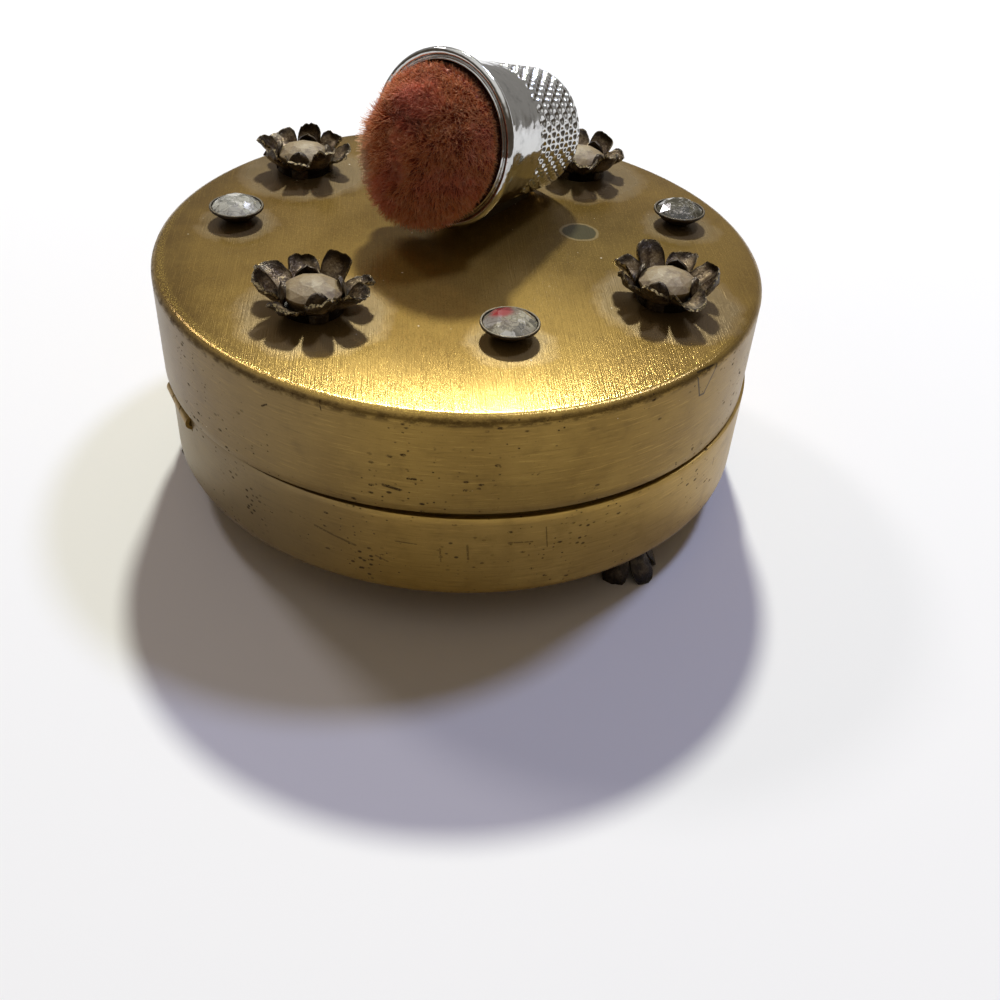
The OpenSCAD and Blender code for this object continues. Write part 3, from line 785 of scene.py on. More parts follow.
def thimble_inner():
    """Everything but the knurled skin: the rolled rim, the plain band, and the inside."""
    cone_x = (BODY_R - section_at(0, 0)[0]) / section_at(0, 0)[1]
    skin = [(BODY_R - cone_x * z, z) for z in np.linspace(KNURL_FROM, 1.1, 15)]
    bead = [(MOUTH_R - BEAD_R + BEAD_R * math.cos(a), BEAD_R + BEAD_R * math.sin(a))
            for a in np.radians(np.linspace(118, -165, 28))]
    inside = [(8.0, 0.2), (7.93, 0.07), (7.85, 0.01), (7.77, 0.04), (7.71, 0.14), (BODY_R - WALL_T, 0.4)]
    inside += [(BODY_R - WALL_T - cone_x * z, z) for z in (2, 5, 8, 12)]
    quarter = math.pi / 2 - LEAN
    inside += [section_at(WALL_T, quarter * f) for f in np.linspace(0, 1, 8)]
    inside.append((0.0, THIMBLE_LEN - WALL_T))
    profile = skin + bead + inside
    turns = np.linspace(0, 2 * math.pi, 216, endpoint=False)
    profile = np.array(profile)
    points = np.stack([np.outer(np.cos(turns), profile[:, 0]), np.outer(np.sin(turns), profile[:, 0]),
                       np.outer(np.ones(216), profile[:, 1])], -1).reshape(-1, 3)
    rows = len(profile)
    faces = [(i * rows + j, i * rows + j + 1, (i + 1) % 216 * rows + j + 1, (i + 1) % 216 * rows + j)
             for i in range(216) for j in range(rows - 1)]
    return points, faces


def shape_tree(name, inputs):
    """A Geometry Nodes tree with named inputs, its board, and what each input gives."""
    tree = bpy.data.node_groups.new(name, "GeometryNodeTree")
    tree.interface.new_socket("Geometry", in_out="INPUT", socket_type="NodeSocketGeometry")
    for key, kind, value in inputs:
        tree.interface.new_socket(key, in_out="INPUT", socket_type=kind).default_value = value
    tree.interface.new_socket("Geometry", in_out="OUTPUT", socket_type="NodeSocketGeometry")
    board = Board(tree)
    entry = tree.nodes.new("NodeGroupInput")
    given = {s.name: Signal(board, s) for s in entry.outputs if s.name}
    return tree, board, given


def knurl_tree(material):
    """The thimble's knurled skin: a grid wrapped round the cone, the shoulder and the closed end, and
    pressed into staggered round dimples."""
    tree, board, given = shape_tree("knurled_skin", [
        ("Dimples round", "NodeSocketInt", 36), ("Ring pitch", "NodeSocketFloat", 1.04),
        ("Dimple depth", "NodeSocketFloat", 0.16), ("Steps round", "NodeSocketInt", 36 * 12 + 1),
        ("Steps along", "NodeSocketInt", 171)])
    grid = board.node("GeometryNodeMeshGrid", None, {
        "Size X": 1.0, "Size Y": 1.0, "Vertices X": given["Steps round"], "Vertices Y": given["Steps along"]})
    x, y, _ = board.split(board.node("GeometryNodeInputPosition"))
    share, past = x + 0.5, y + 0.5
    turn = share * (2 * math.pi)
    arc_end = section_at(0, 0)
    cone = math.hypot(BODY_R - arc_end[0], arc_end[1]) - KNURL_FROM / math.cos(LEAN)
    quarter = math.pi / 2 - LEAN
    bend = SHOULDER_R * quarter
    flat = SHOULDER_C[0]
    whole = cone + bend + flat
    run = past * whole
    on_cone = board.clip(run, 0.0, cone)
    on_bend = board.clip(run - cone, 0.0, bend)
    on_flat = board.clip(run - (cone + bend), 0.0, flat)
    start_r = BODY_R - KNURL_FROM * math.tan(LEAN)
    tilt = on_bend / SHOULDER_R + LEAN
    out_r, out_z = board.cos(tilt), board.sin(tilt)
    radius = start_r - on_cone * math.sin(LEAN) + (out_r - math.cos(LEAN)) * SHOULDER_R - on_flat
    height = KNURL_FROM + on_cone * math.cos(LEAN) + (out_z - math.sin(LEAN)) * SHOULDER_R
    ring = run / given["Ring pitch"]
    ring_no = ring.math("FLOOR", ring)
    shift = (ring_no.math("MODULO", ring_no, 2.0)) * 0.5
    cell = share * given["Dimples round"] + shift
    side = (cell.math("FRACT", cell) - 0.5) * (2 * math.pi) * radius / given["Dimples round"]
    front = (ring.math("FRACT", ring) - 0.5) * given["Ring pitch"]
    near = board.root(side * side + front * front) / 0.5
    wall_pit = board.clip(1.0 - near * near, 0.0, 1.0)
    waffle_x, waffle_y = radius * board.cos(turn) / 1.15 + 0.5, radius * board.sin(turn) / 1.15 + 0.5
    flat_side = (waffle_x.math("FRACT", waffle_x) - 0.5) * 1.15
    flat_front = (waffle_y.math("FRACT", waffle_y) - 0.5) * 1.15
    flat_near = board.root(flat_side * flat_side + flat_front * flat_front) / 0.5
    flat_pit = board.clip(1.0 - flat_near * flat_near, 0.0, 1.0) * board.step(radius, 4.9, 4.3)
    pit = wall_pit * board.step(run, cone + 0.5 * bend, cone + 0.3 * bend) + flat_pit
    deep = pit * given["Dimple depth"]
    radius_now = radius - deep * out_r
    place = board.join(radius_now * board.cos(turn), radius_now * board.sin(turn), height - deep * out_z)
    wrapped = board.node("GeometryNodeSetPosition", None, {"Geometry": grid, "Position": place})
    wrapped = board.node("GeometryNodeStoreNamedAttribute", {"data_type": "FLOAT", "domain": "POINT"},
                         {"Geometry": wrapped, "Name": "pit", "Value": pit})
    wrapped = board.node("GeometryNodeMergeByDistance", None, {"Geometry": wrapped, "Distance": 0.001})
    both = tree.nodes.new("GeometryNodeJoinGeometry")
    tree.links.new(wrapped.socket, both.inputs[0])
    tree.links.new(given["Geometry"].socket, both.inputs[0])
    end_tree(tree, board, Signal(board, both.outputs[0]), material)
    return tree


def end_tree(tree, board, shape, material):
    """Realize Instances, Set Material and the tree's output."""
    real = board.node("GeometryNodeRealizeInstances", None, {"Geometry": shape})
    done = board.node("GeometryNodeSetMaterial", None, {"Geometry": real, "Material": material})
    leave = tree.nodes.new("NodeGroupOutput")
    tree.links.new(done.socket, leave.inputs[0])


def grown(name, base, tree, values):
    """The plain mesh that a tree grows on a base mesh, with its inputs set first."""
    holder = bpy.data.objects.new(name + "_base", base)
    bpy.context.scene.collection.objects.link(holder)
    growth = holder.modifiers.new("growth", "NODES")
    growth.node_group = tree
    for item in tree.interface.items_tree:
        if item.item_type == "SOCKET" and item.in_out == "INPUT" and item.name in values:
            growth[item.identifier] = values[item.name]
    graph = bpy.context.evaluated_depsgraph_get()
    mesh = bpy.data.meshes.new_from_object(holder.evaluated_get(graph), preserve_all_data_layers=True,
                                           depsgraph=graph)
    holder.modifiers.clear()
    bpy.data.objects.remove(holder)
    mesh.name = name
    return mesh


def plate_finish(look):
    """Bright plating with faint wear, and a little dirt in the dimples."""
    def paint(board):
        spot = board.place()
        pit = board.own("pit")
        wear = board.grain(spot, 0.7, 3, 0.6)
        fine = board.grain(spot, 6, 2, 0.5)
        colour = board.mix(tuple(look.plate), tuple(v * 0.72 for v in look.plate), board.step(wear, 0.5, 0.75))
        colour = board.mix(colour, tint(120, 116, 108), board.step(pit, 0.5, 1.0) * 0.12)
        wave = board.grain(spot, 0.45, 2, 0.5)
        return {"Base Color": colour, "Roughness": 0.06 + wear * 0.1,
                "Normal": board.bump(fine * 0.01 + wave, 0.3, 0.0005)}
    return finish_of("bright_plate", paint, Metallic=1.0)


# Velvet pincushion

CUSHION_OUT = 6.2
CUSHION_IN = 7.0
CUSHION_SAG = 2.9
CUSHION_SWELL = 0.55
CUSHION_GAP = 0.12
HOLLOWS = [((-0.73, 2.23, -5.51), 1.5, 1.0), ((3.02, 0.05, -6.19), 1.1, 0.7)]
CREASE = [(-2.6, 6.0, -3.6), (-3.1, 3.4, -4.6), (-3.13, 1.06, -4.9), (-2.28, -2.23, -4.9)]


def velvet_body(pile):
    """The stuffed plug, by the solid model's rule with a finer grid, drawn in by up to 0.4 of the pile's
    length, with the photograph's two hollows and its crease."""
    sides, plug_rows, crown_rows = 160, 12, 70
    plug_r = BODY_R - WALL_T - CUSHION_GAP
    narrow = (BODY_R - TIP_R) / THIMBLE_LEN
    rows = []
    turns = np.linspace(0, 2 * math.pi, sides, endpoint=False)
    deg = np.degrees(turns)
    for j in range(plug_rows + crown_rows):
        z = (CUSHION_IN * (1 - j / plug_rows) if j <= plug_rows
             else -CUSHION_OUT * math.sin(math.pi / 2 * (j - plug_rows) / crown_rows))
        u = max(0.0, -z / CUSHION_OUT)
        if z > 0:
            wide = plug_r - 1.15 * narrow * z
        else:
            wide = (plug_r + CUSHION_SWELL * math.sin(math.radians(min(180, 400 * u)))) * max(0, 1 - u ** 2.5) ** 0.5
        lump = 1 + 0.025 * u * np.sin(np.radians(3 * deg + 40)) + 0.015 * u * np.sin(np.radians(5 * deg))
        drop = CUSHION_SAG * u ** 1.4
        rows.append(np.stack([wide * lump * np.cos(turns) + drop, wide * lump * np.sin(turns),
                              np.full(sides, z)], -1))
    points = np.concatenate(rows)
    total = plug_rows + crown_rows
    faces = [(j * sides + i, j * sides + (i + 1) % sides, (j + 1) * sides + (i + 1) % sides, (j + 1) * sides + i)
             for j in range(total - 1) for i in range(sides)]
    points = np.concatenate([points, [(0, 0, CUSHION_IN), (CUSHION_SAG, 0, -CUSHION_OUT)]])
    faces += [(total * sides, (i + 1) % sides, i) for i in range(sides)]
    last = (total - 1) * sides
    faces += [(total * sides + 1, last + i, last + (i + 1) % sides) for i in range(sides)]
    mesh = bpy.data.meshes.new("velvet_body")
    mesh.from_pydata(points.tolist(), [], faces)
    normals = np.array([v.normal for v in mesh.vertices])
    middle = np.array([1.0, 0.0, -2.0])
    outward = np.sign(((points - middle) * normals).sum(1))
    normals *= outward[:, None]
    inset = pile * 0.4 * np.clip((1.5 - points[:, 2]) / 1.5, 0, 1)
    for at, size, deep in HOLLOWS:
        inset += deep * np.exp(-((points - np.array(at)) ** 2).sum(1) / size ** 2)
    near = np.full(len(points), 1e9)
    for a, b in zip(CREASE, CREASE[1:]):
        a, b = np.array(a), np.array(b)
        h = np.clip(((points - a) @ (b - a)) / ((b - a) @ (b - a)), 0, 1)
        near = np.minimum(near, np.linalg.norm(points - a - h[:, None] * (b - a), axis=1))
    inset += 0.75 * np.exp(-(near / 0.75) ** 2)
    lumps = np.array([noise.noise(Vector(p) * 0.45) + 0.5 * noise.noise(Vector(p) * 1.1 + Vector((9, 0, 0)))
                      for p in points])
    inset += 0.3 * (1 - lumps) * np.clip(-points[:, 2] / 2, 0, 1) * 0.5
    points = points - normals * inset[:, None]
    mesh.vertices.foreach_set("co", (from_thimble(points) * MM).ravel())
    grow = np.clip((0.9 - points[:, 2]) / 1.0, 0, 1)
    mesh.attributes.new("grow", "FLOAT", "POINT").data.foreach_set("value", grow.astype(np.float32))
    tall = np.clip((0.3 - points[:, 2]) / 3.4, 0.2, 1)
    mesh.attributes.new("tall", "FLOAT", "POINT").data.foreach_set("value", tall.astype(np.float32))
    # deep marks the cloth near and inside the mouth, and hollow the crease and the hollows; the velvet's finish paints
    # both darker as painted shade.
    deep = np.clip((points[:, 2] + 1.0) / 1.4, 0, 1)
    mesh.attributes.new("deep", "FLOAT", "POINT").data.foreach_set("value", deep.astype(np.float32))
    hollow = np.exp(-(near / 0.9) ** 2)
    for at, size, _ in HOLLOWS:
        hollow = np.maximum(hollow, np.exp(-((points - np.array(at)) ** 2).sum(1) / (1.3 * size) ** 2))
    mesh.attributes.new("hollow", "FLOAT", "POINT").data.foreach_set("value", hollow.astype(np.float32))
    work = bmesh.new()
    work.from_mesh(mesh)
    bmesh.ops.recalc_face_normals(work, faces=work.faces)
    work.to_mesh(mesh)
    work.free()
    mesh.shade_smooth()
    return mesh


def pile_tree(material):
    """Velvet pile: thin bent tufts that stand on the cloth and lean by a slow random field."""
    tree, board, given = shape_tree("velvet_pile", [
        ("Pile length", "NodeSocketFloat", 0.0012), ("Pile width", "NodeSocketFloat", 0.00005),
        ("Tufts per mm2", "NodeSocketFloat", 40.0), ("Seed", "NodeSocketInt", 4)])
    cloth = given["Geometry"]
    grow = board.node("GeometryNodeInputNamedAttribute", {"data_type": "FLOAT"}, {"Name": "grow"})
    scatter = tree.nodes.new("GeometryNodeDistributePointsOnFaces")
    scatter.distribute_method = "RANDOM"
    tree.links.new(cloth.socket, scatter.inputs["Mesh"])
    tree.links.new((grow * given["Tufts per mm2"] * 1e6).socket, scatter.inputs["Density"])
    tree.links.new(given["Seed"].socket, scatter.inputs["Seed"])
    points, normal = Signal(board, scatter.outputs["Points"]), Signal(board, scatter.outputs["Normal"])
    length = given["Pile length"]
    blade = board.node("GeometryNodeCurveQuadraticBezier", None, {
        "Resolution": 3, "Start": (0, 0, 0), "Middle": board.join(0.0, 0.0, length * 0.55),
        "End": board.join(length * 0.3, 0.0, length)})
    along = board.node("GeometryNodeSplineParameter")
    blade = board.node("GeometryNodeSetCurveRadius", None, {"Curve": blade, "Radius": 1.0 - along * 0.75})
    ring = board.node("GeometryNodeCurvePrimitiveCircle", None, {"Resolution": 3, "Radius": given["Pile width"]})
    carried = board.node("GeometryNodeStoreNamedAttribute", {"data_type": "FLOAT", "domain": "POINT"},
                         {"Geometry": blade, "Name": "tip", "Value": along})
    curve_to_mesh = tree.nodes.new("GeometryNodeCurveToMesh")
    tree.links.new(carried.socket, curve_to_mesh.inputs["Curve"])
    tree.links.new(ring.socket, curve_to_mesh.inputs["Profile Curve"])
    if "Scale" in curve_to_mesh.inputs:
        radius = board.node("GeometryNodeInputRadius")
        tree.links.new(radius.socket, curve_to_mesh.inputs["Scale"])
    tuft = Signal(board, curve_to_mesh.outputs[0])
    place = board.node("GeometryNodeInputPosition")
    slow = board.node("ShaderNodeTexNoise", None, {"Vector": place, "Scale": 420.0, "Detail": 2.0}, "Color")
    quick = board.node("ShaderNodeTexNoise", None, {"Vector": place, "Scale": 2400.0, "Detail": 1.0}, "Color")
    sway = board.vector("SCALE", board.vector("SUBTRACT", slow, (0.5, 0.5, 0.5)), out=0)
    sway.socket.node.inputs["Scale"].default_value = 1.7
    ruffle = board.vector("SCALE", board.vector("SUBTRACT", quick, (0.5, 0.5, 0.5)), out=0)
    ruffle.socket.node.inputs["Scale"].default_value = 1.0
    lay = board.vector("ADD", board.vector("ADD", normal, sway),
                       board.vector("ADD", ruffle, (-0.08, -0.1, -0.38)))
    turn = board.node("FunctionNodeAlignRotationToVector", {"axis": "Z"}, {"Vector": lay})
    spin = board.node("FunctionNodeRandomValue", {"data_type": "FLOAT"}, {"Min": 0.0, "Max": 6.28}, 1)
    axis_spin = board.node("FunctionNodeAxisAngleToRotation", None, {"Axis": (0, 0, 1), "Angle": spin})
    turn = board.node("FunctionNodeRotateRotation", {"rotation_space": "LOCAL"},
                      {"Rotation": turn, "Rotate By": axis_spin})
    tall = board.node("FunctionNodeRandomValue", {"data_type": "FLOAT"}, {"Min": 0.65, "Max": 1.15}, 1)
    tall = tall * board.node("GeometryNodeInputNamedAttribute", {"data_type": "FLOAT"}, {"Name": "tall"})
    tufts = board.node("GeometryNodeInstanceOnPoints", None, {
        "Points": points, "Instance": tuft, "Rotation": turn, "Scale": board.join(1.0, 1.0, tall)})
    shade = board.node("FunctionNodeRandomValue", {"data_type": "FLOAT"}, {"Min": 0.0, "Max": 1.0, "Seed": 7}, 1)
    tufts = board.node("GeometryNodeStoreNamedAttribute", {"data_type": "FLOAT", "domain": "INSTANCE"},
                       {"Geometry": tufts, "Name": "shade", "Value": shade})
    both = tree.nodes.new("GeometryNodeJoinGeometry")
    tree.links.new(tufts.socket, both.inputs[0])
    tree.links.new(cloth.socket, both.inputs[0])
    end_tree(tree, board, Signal(board, both.outputs[0]), material)
    return tree


def velvet_finish(look):
    """Worn velvet: rust-brown pile, paler at its tips, dusty rose where it is rubbed and as a painted
    highlight on the cushion's top, with painted shade: maroon in the hollows and near black at the
    thimble's mouth."""
    def paint(board):
        spot = board.place()
        tip, hollow, shade = board.own("tip"), board.own("hollow"), board.own("shade")
        patch = board.grain(spot, 0.28, 2, 0.5)
        colour = board.mix(tuple(look.velvet_root), tuple(look.velvet), board.step(tip, 0.1, 0.8))
        colour = board.mix(colour, tuple(look.velvet_tip), board.step(tip, 0.6, 1.0) * shade * 0.7)
        # Dusty rose on the top of the cushion: partly rubbed pile, partly a painted highlight where the light falls.
        at = tuple(from_thimble([(-3.6, 0.8, -4.6)])[0])
        rubbed_and_lit = board.step(board.far(spot, at), 4.2, 1.2)
        rubbed_and_lit = board.most(rubbed_and_lit, board.step(patch, 0.5, 0.65) * 0.6)
        colour = board.mix(colour, tuple(look.velvet_rose), rubbed_and_lit * 0.65)
        fringe = board.step(board.far(spot, tuple(from_thimble([(3.4, 5.8, -4.2)])[0])), 3.4, 1.4)
        colour = board.mix(colour, tint(238, 214, 178), fringe * board.step(tip, 0.3, 0.9) * 0.75)
        streak = board.grain(spot, 1.1, 2, 0.6)
        colour = board.mix(colour, tuple(look.velvet_tip), board.step(streak, 0.55, 0.75) * board.step(tip, 0.2, 0.8) * 0.4)
        # Maroon in the hollows and the crease: painted shade.
        colour = board.mix(colour, tint(74, 26, 34), board.step(hollow, 0.35, 0.95) * 0.6)
        # Near black where the cloth goes into the thimble's mouth: painted shade.
        colour = board.mix(colour, tint(48, 16, 14), board.own("deep") * 0.8)
        return {"Base Color": colour, "Roughness": 0.5 + shade * 0.3}
    return finish_of("worn_velvet", paint, Sheen_Weight=0.45, Sheen_Roughness=0.4,
                     Sheen_Tint=(0.9, 0.6, 0.45, 1.0))


# User's values

class PincushionLook(bpy.types.PropertyGroup):
    """Colours and finishes of the box"""
    brass: FloatVectorProperty(name="Brass", description="Clean brass of the box", subtype="COLOR",
                               default=tint(178, 146, 76), min=0, max=1)
    patina: FloatVectorProperty(name="Patina", description="Aged brass", subtype="COLOR",
                                default=tint(136, 107, 52), min=0, max=1)
    brush_turn: FloatProperty(name="Brushing", description="Direction of the brushing on the lid, in degrees",
                              default=67.0)
    brush_depth: FloatProperty(name="Brushing depth", description="Strength of the brushed lines",
                               default=0.36, min=0, max=1)
    petal_dark: FloatVectorProperty(name="Dark petals", description="Darkest tone of the petals",
                                    subtype="COLOR", default=tint(78, 61, 40), min=0, max=1)
    petal_light: FloatVectorProperty(name="Light petals", description="Lightest tone of the petals",
                                     subtype="COLOR", default=tint(126, 107, 78), min=0, max=1)
    cup_stone: FloatVectorProperty(name="Cup stones", description="Clouded stones in the petal cups",
                                   subtype="COLOR", default=tint(138, 117, 80), min=0, max=1)
    plate: FloatVectorProperty(name="Plating", description="Plating of the thimble", subtype="COLOR",
                               default=tint(204, 204, 201), min=0, max=1)
    velvet: FloatVectorProperty(name="Velvet", description="Main colour of the pile", subtype="COLOR",
                                default=tint(236, 146, 84), min=0, max=1)
    velvet_root: FloatVectorProperty(name="Pile roots", description="Colour deep in the pile", subtype="COLOR",
                                     default=tint(166, 66, 38), min=0, max=1)
    velvet_tip: FloatVectorProperty(name="Pile tips", description="Colour of the worn tips", subtype="COLOR",
                                    default=tint(255, 216, 168), min=0, max=1)
    velvet_rose: FloatVectorProperty(name="Rubbed velvet", description="Colour where the pile is rubbed",
                                     subtype="COLOR", default=tint(240, 140, 124), min=0, max=1)


class PincushionSizes(bpy.types.PropertyGroup):
    """Sizes of the fine detail that the solid model leaves out"""
    dimples_round: IntProperty(name="Dimples round", description="Dimples in one ring of the thimble",
                               default=36, min=24, max=48)
    ring_pitch: FloatProperty(name="Ring pitch", description="Distance between two rings of dimples",
                              default=1.04 * MM, min=0.8 * MM, max=1.4 * MM, unit="LENGTH")
    dimple_depth: FloatProperty(name="Dimple depth", description="Depth of a dimple", default=0.24 * MM,
                                min=0.05 * MM, max=0.3 * MM, unit="LENGTH")
    pile_length: FloatProperty(name="Pile length", description="Length of the velvet's pile",
                               default=1.7 * MM, min=0.5 * MM, max=2.4 * MM, unit="LENGTH")
    pile_per_mm2: FloatProperty(name="Tufts", description="Tufts of pile on a square millimetre",
                                default=62.0, min=5, max=80)
    crinkle: FloatProperty(name="Crinkle", description="How far the petals' sheet is crinkled",
                           default=0.2 * MM, min=0, max=0.3 * MM, unit="LENGTH")


# Operators

class PINCUSHION_OT_box(bpy.types.Operator):
    """Base and lid of brushed, aged brass, with the collar between them"""
    bl_idname = "pincushion.box"
    bl_label = "Box"

    def execute(self, context):
        look = context.scene.pincushion_look
        points, faces = drawn_shell(SEAM_Z - FOOT_H, base_notch, 1.0)
        piece_of("base_shell_brass", points + [0, 0, FOOT_H], faces, brass_finish(look, "base_brass", False),
                 "base", ["base_shell"])
        points, faces = drawn_shell(LID_TOP_Z - LID_RIM_Z, lid_spring, 2.0, LID_CROWN)
        points = points * [1, 1, -1] + [-LID_SHIFT, 0, LID_TOP_Z]
        piece_of("lid_shell_brass", points, faces, brass_finish(look, "lid_brass", True),
                 "lid", ["lid_shell"])
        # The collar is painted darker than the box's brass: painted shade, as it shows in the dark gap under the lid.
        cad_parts["base_collar"].data.materials[0] = plain_brass(look, "collar_brass", 0.6)
        return {"FINISHED"}


class PINCUSHION_OT_hinge(bpy.types.Operator):
    """Finish of the hinge's leaves and pin"""
    bl_idname = "pincushion.hinge"
    bl_label = "Hinge"

    def execute(self, context):
        look = context.scene.pincushion_look
        dull = plain_brass(look, "hinge_brass", 0.75)
        for name in ("hinge_base_leaf", "hinge_lid_leaf"):
            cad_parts[name].data.materials[0] = dull
        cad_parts["hinge_pin"].data.materials[0] = plain_brass(look, "pin_metal", 0.5)
        return {"FINISHED"}


class PINCUSHION_OT_petals(bpy.types.Operator):
    """Petal cups round the lid with their clouded stones, and the petal feet"""
    bl_idname = "pincushion.petals"
    bl_label = "Petal cups and feet"

    def execute(self, context):
        look, sizes = context.scene.pincushion_look, context.scene.pincushion_sizes
        crinkle = sizes.crinkle / MM
        # The feet's finish is painted 60 % darker than the cups': painted shade under the box.
        bronze, foot_shade_finish = petal_finish(look, "darkened_brass", 1.0), petal_finish(look, "foot_brass_painted_shade", 0.4)
        glass = clouded_glass(look)
        for name, (turn, _share, spread, first) in CUPS.items():
            low, top, edge = rosette(8, 20, 14, (3.1, 0.9), 6.0 * spread, 2.9, 0.24, 1.25, 0.7, turn, crinkle)
            points, faces = sheet_between(low, top, True)
            parts = [(points, faces)]
            edge = np.concatenate([edge, [0, 0]])
            tongue = claw(3.2, 0.9, 0.24, 2.55, 2.15, 0.35)
            for quarter in range(4):
                parts.append((turned(tongue[0], 90 * quarter), tongue[1]))
            # The claws get an edge share of 0.2, which their finish paints dark: painted shade.
            rise = np.full(len(tongue[0]), 0.2)
            edge = np.concatenate([edge, *[rise] * 4])
            points, faces = together(parts)
            at = np.array([*cup_centre(name), LID_TOP_Z])
            piece_of("petal_cup_" + name + "_sheet", turned(points, first) + at, faces, bronze, "lid",
                     ["petal_cup_" + name], 50, {"edge": edge})
            stone = cut_stone([(8, 2.4, 0.28, 0), (16, 2.5, 1.0, 0), (16, 2.92, 1.8, 0), (16, 2.92, 2.0, 0),
                               (8, 2.3, 2.5, 0), (8, 1.2, 2.88, 1), (1, 0, 3.0, 0)])
            points = turned(stone[0], first + 11) + at
            piece_of("cup_stone_" + name + "_glass", points, stone[1], glass, "lid",
                     ["cup_stone_" + name], 0)
        for name, turn in FEET.items():
            low, top, edge = rosette(6, 16, 12, (1.89, 0.25 * FOOT_H), 4.2, FOOT_H + 0.3, 0.28, 0.5, 0.0, 0, 0.6 * crinkle)
            points, faces = sheet_between(low, top, True)
            points[:, 2] = np.minimum(points[:, 2], FOOT_H)
            points = points * [1, -1, -1] + [28.2, 0, FOOT_H]
            piece_of("foot_" + name + "_sheet", turned(points, 43 + turn), faces, foot_shade_finish, "base",
                     ["foot_" + name], 50, {"edge": np.concatenate([edge, [0, 0]])})
        return {"FINISHED"}


class PINCUSHION_OT_collets(bpy.types.Operator):
    """Small cone settings between the petal cups, each with its cut stone"""
    bl_idname = "pincushion.collets"
    bl_label = "Collets and stones"

    def execute(self, context):
        look = context.scene.pincushion_look
        dark = collet_finish()
        hues = {"left": tint(206, 204, 190), "front": tint(190, 182, 156), "right": tint(84, 78, 52),
                "back": tint(170, 166, 150)}
        for name in COLLETS:
            at = np.array([*collet_centre(name), LID_TOP_Z])
            h, r, t = 1.6, 2.85, 0.25
            profile = [(0, 0), (1.1, 0), (1.2, 0.04), (1.75, 0.42), (2.3, 0.88), (r - 0.06, 1.28), (r, 1.38),
                       (r, h - 0.06), (r - 0.06, h), (r - t + 0.06, h), (r - t, h - 0.06), (r - t, 1.36),
                       (2.0, 0.9), (r - t - 1.4, t), (0, t)]
            points, faces = lathe(profile, 72)
            piece_of("collet_" + name + "_metal", points + at, faces, dark, "lid",
                     ["collet_" + name])
            patch = None
            if name == "front":
                patch = (tuple(at + [-0.55, 0.95, 2.3]), 1.45, tint(158, 62, 62))
            glass = foiled_glass(look, "stone_glass_" + name, hues[name], patch)
            seat = r - t - 0.04
            stone = cut_stone([(8, 1.16, 0.27, 0), (16, seat, 1.36, 0), (16, seat, 1.5, 0),
                               (8, 0.74 * seat, 2.08, 0), (8, 0.5 * seat, 2.4, 1)])
            points = turned(stone[0], 13 * len(name)) + at
            piece_of("collet_stone_" + name + "_glass", points, stone[1], glass, "lid",
                     ["collet_stone_" + name], 0)
        return {"FINISHED"}


class PINCUSHION_OT_thimble(bpy.types.Operator):
    """Plated thimble with its rolled rim and knurled end, and the glue under it"""
    bl_idname = "pincushion.thimble"
    bl_label = "Thimble"

    def execute(self, context):
        look, sizes = context.scene.pincushion_look, context.scene.pincushion_sizes
        plate = plate_finish(look)
        points, faces = thimble_inner()
        base = bpy.data.meshes.new("thimble_inner")
        base.from_pydata(points.tolist(), [], faces)
        mesh = grown("thimble_plated", base, knurl_tree(plate), {
            "Dimples round": sizes.dimples_round, "Ring pitch": sizes.ring_pitch / MM,
            "Dimple depth": sizes.dimple_depth / MM, "Steps round": sizes.dimples_round * 12 + 1})
        work = bmesh.new()
        work.from_mesh(mesh)
        bmesh.ops.remove_doubles(work, verts=work.verts, dist=1e-4)
        bmesh.ops.recalc_face_normals(work, faces=work.faces)
        work.to_mesh(mesh)
        work.free()
        mesh.transform(Matrix.Scale(MM, 4) @ AT_THIMBLE)
        mesh.shade_smooth()
        made = bpy.data.objects.new("thimble_plated", mesh)
        context.scene.collection.objects.link(made)
        settle(made, "lid", ["thimble"])

        def paint(board):
            spot = board.place()
            blot = board.grain(spot, 0.8, 3)
            return {"Base Color": board.mix(tint(96, 84, 58), tint(60, 52, 38), blot),
                    "Roughness": 0.2 + blot * 0.3, "Normal": board.bump(blot, 0.4, 0.0002)}
        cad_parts["thimble_glue"].data.materials[0] = finish_of("old_glue", paint, IOR=1.5)
        return {"FINISHED"}


class PINCUSHION_OT_cushion(bpy.types.Operator):
    """Velvet pincushion in the thimble's mouth, with its pile"""
    bl_idname = "pincushion.cushion"
    bl_label = "Velvet cushion"

    def execute(self, context):
        look, sizes = context.scene.pincushion_look, context.scene.pincushion_sizes
        velvet = velvet_finish(look)
        mesh = grown("velvet_pincushion", velvet_body(sizes.pile_length / MM), pile_tree(velvet), {
            "Pile length": sizes.pile_length, "Tufts per mm2": sizes.pile_per_mm2 * 1})
        made = bpy.data.objects.new("velvet_pincushion", mesh)
        context.scene.collection.objects.link(made)
        settle(made, "lid", ["pincushion"])
        return {"FINISHED"}


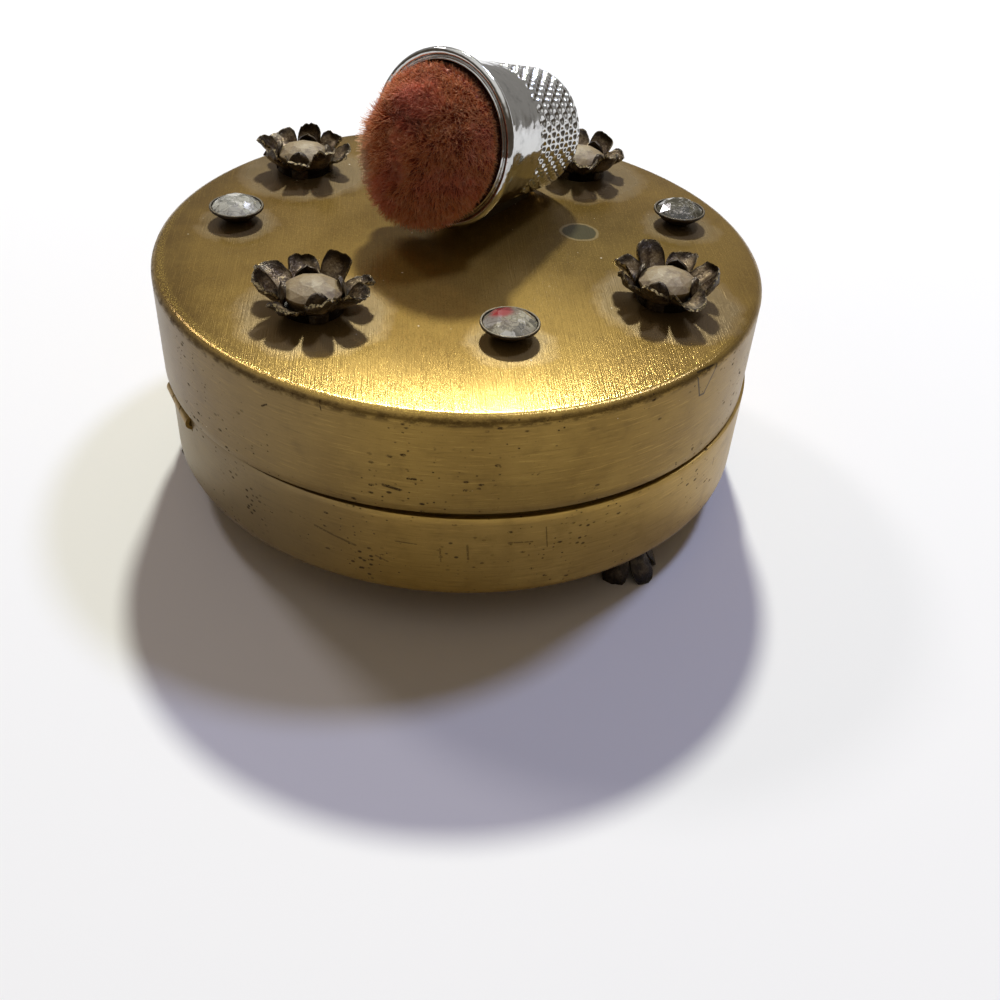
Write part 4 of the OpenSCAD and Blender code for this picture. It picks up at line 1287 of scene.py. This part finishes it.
class PINCUSHION_OT_stage(bpy.types.Operator):
    """Pale floor, soft studio light and the photograph's camera"""
    bl_idname = "pincushion.stage"
    bl_label = "Floor, light and camera"

    def execute(self, context):
        scene = context.scene
        floor = bpy.data.meshes.new("floor")
        floor.from_pydata([(-2, -2, 0), (2, -2, 0), (2, 2, 0), (-2, 2, 0)], [], [(0, 1, 2, 3)])
        floor.transform(Matrix.Translation((0, 0, -0.00005)))

        def paper(board):
            spot = board.place()
            soft = board.grain(spot, 0.01, 2)
            rays = [board.node("ShaderNodeLightPath", None, None, "Is " + kind + " Ray")
                    for kind in ("Camera", "Glossy", "Transmission")]
            away = board.step(board.far(spot, (0, 0, 0)), 240, 480) * board.most(board.most(rays[0], rays[1]), rays[2])
            colour = board.mix(tint(238, 238, 240), tint(244, 243, 244), soft)
            return {"Base Color": board.mix(colour, (0.0, 0.0, 0.0), away),
                    "Emission Color": board.mix((0.0, 0.0, 0.0), tint(246, 245, 248), away)}
        floor.materials.append(finish_of("white_paper", paper, Roughness=0.9, Specular_IOR_Level=0.2,
                                         Emission_Strength=1.0))
        ground = bpy.data.objects.new("floor", floor)
        scene.collection.objects.link(ground)
        for name, azimuth, height, far, size, power, colour in (
                ("high_back_lamp", 63.7, 46.5, 1.5, 0.12, 20.5, (0.98, 1.0, 0.88)),
                ("side_lamp", 18, 57, 1.2, 0.17, 5.2, (0.58, 0.65, 1.0)),
                ("far_lamp", 106, 42.4, 1.3, 0.2, 2.7, (1.0, 0.94, 0.96))):
            lamp = bpy.data.lights.new(name, "AREA")
            lamp.shape, lamp.size, lamp.energy, lamp.color = "DISK", size, power, colour
            holder = bpy.data.objects.new(name, lamp)
            a, e = math.radians(azimuth), math.radians(height)
            way = Vector((math.cos(a) * math.cos(e), math.sin(a) * math.cos(e), math.sin(e)))
            holder.location = way * far + Vector((0, 0, 0.02))
            holder.rotation_euler = way.to_track_quat("Z", "Y").to_euler()
            scene.collection.objects.link(holder)
        world = bpy.data.worlds.new("room")
        world.use_nodes = True
        board = Board(world.node_tree)
        way = board.node("ShaderNodeTexCoord", None, None, "Generated")
        side_x, side_y, up = board.split(way)
        seen = board.node("ShaderNodeLightPath", None, None, "Is Glossy Ray")
        overhead = board.step(up, 0.5, 0.88)
        sky = board.mix(tint(84, 76, 67), tint(124, 112, 99), overhead)
        beyond = board.step(side_x * 0.44 + side_y * 0.9, 0.25, 0.65)
        sky = board.mix(sky, (1.0, 1.0, 1.0), board.most(overhead * 0.9, beyond * 0.22) * seen)
        straight = board.node("ShaderNodeLightPath", None, None, "Is Camera Ray")
        sky = board.mix(sky, tint(246, 245, 248), straight)
        world.node_tree.links.new(sky.socket, world.node_tree.nodes["Background"].inputs["Color"])
        scene.world = world
        lens = bpy.data.cameras.new("camera")
        lens.lens, lens.sensor_width, lens.clip_start, lens.clip_end = 40.248, 36.0, 0.001, 50
        eye = bpy.data.objects.new("camera", lens)
        eye.matrix_world = (Matrix.Translation(Vector((-49.53, -97.45, 80.42)) * MM)
                            @ Matrix.Rotation(math.radians(-30), 4, "Z")
                            @ Matrix.Rotation(math.pi / 2 - 0.6906853, 4, "X")
                            @ Matrix.Rotation(0.0761852, 4, "Z"))
        scene.collection.objects.link(eye)
        scene.camera = eye
        scene.view_settings.view_transform = "Standard"
        return {"FINISHED"}


class PINCUSHION_PT_panel(bpy.types.Panel):
    """Lists the pieces and their values"""
    bl_label = "Pincushion box"
    bl_idname = "PINCUSHION_PT_panel"
    bl_space_type = "VIEW_3D"
    bl_region_type = "UI"
    bl_category = "Pincushion box"

    def draw(self, context):
        for made in OPERATORS:
            self.layout.operator(made.bl_idname)
        for group in (context.scene.pincushion_look, context.scene.pincushion_sizes):
            for key in group.__annotations__:
                self.layout.prop(group, key)


OPERATORS = (PINCUSHION_OT_box, PINCUSHION_OT_hinge, PINCUSHION_OT_petals, PINCUSHION_OT_collets,
             PINCUSHION_OT_thimble, PINCUSHION_OT_cushion, PINCUSHION_OT_stage)
CLASSES = (PincushionLook, PincushionSizes, *OPERATORS, PINCUSHION_PT_panel)


def register():
    for made in CLASSES:
        bpy.utils.register_class(made)
    bpy.types.Scene.pincushion_look = PointerProperty(type=PincushionLook)
    bpy.types.Scene.pincushion_sizes = PointerProperty(type=PincushionSizes)


def unregister():
    del bpy.types.Scene.pincushion_sizes
    del bpy.types.Scene.pincushion_look
    for made in reversed(CLASSES):
        bpy.utils.unregister_class(made)


def main():
    register()
    bpy.ops.pincushion.box()
    bpy.ops.pincushion.hinge()
    bpy.ops.pincushion.petals()
    bpy.ops.pincushion.collets()
    bpy.ops.pincushion.thimble()
    bpy.ops.pincushion.cushion()
    bpy.ops.pincushion.stage()


if __name__ == "__main__":
    main()
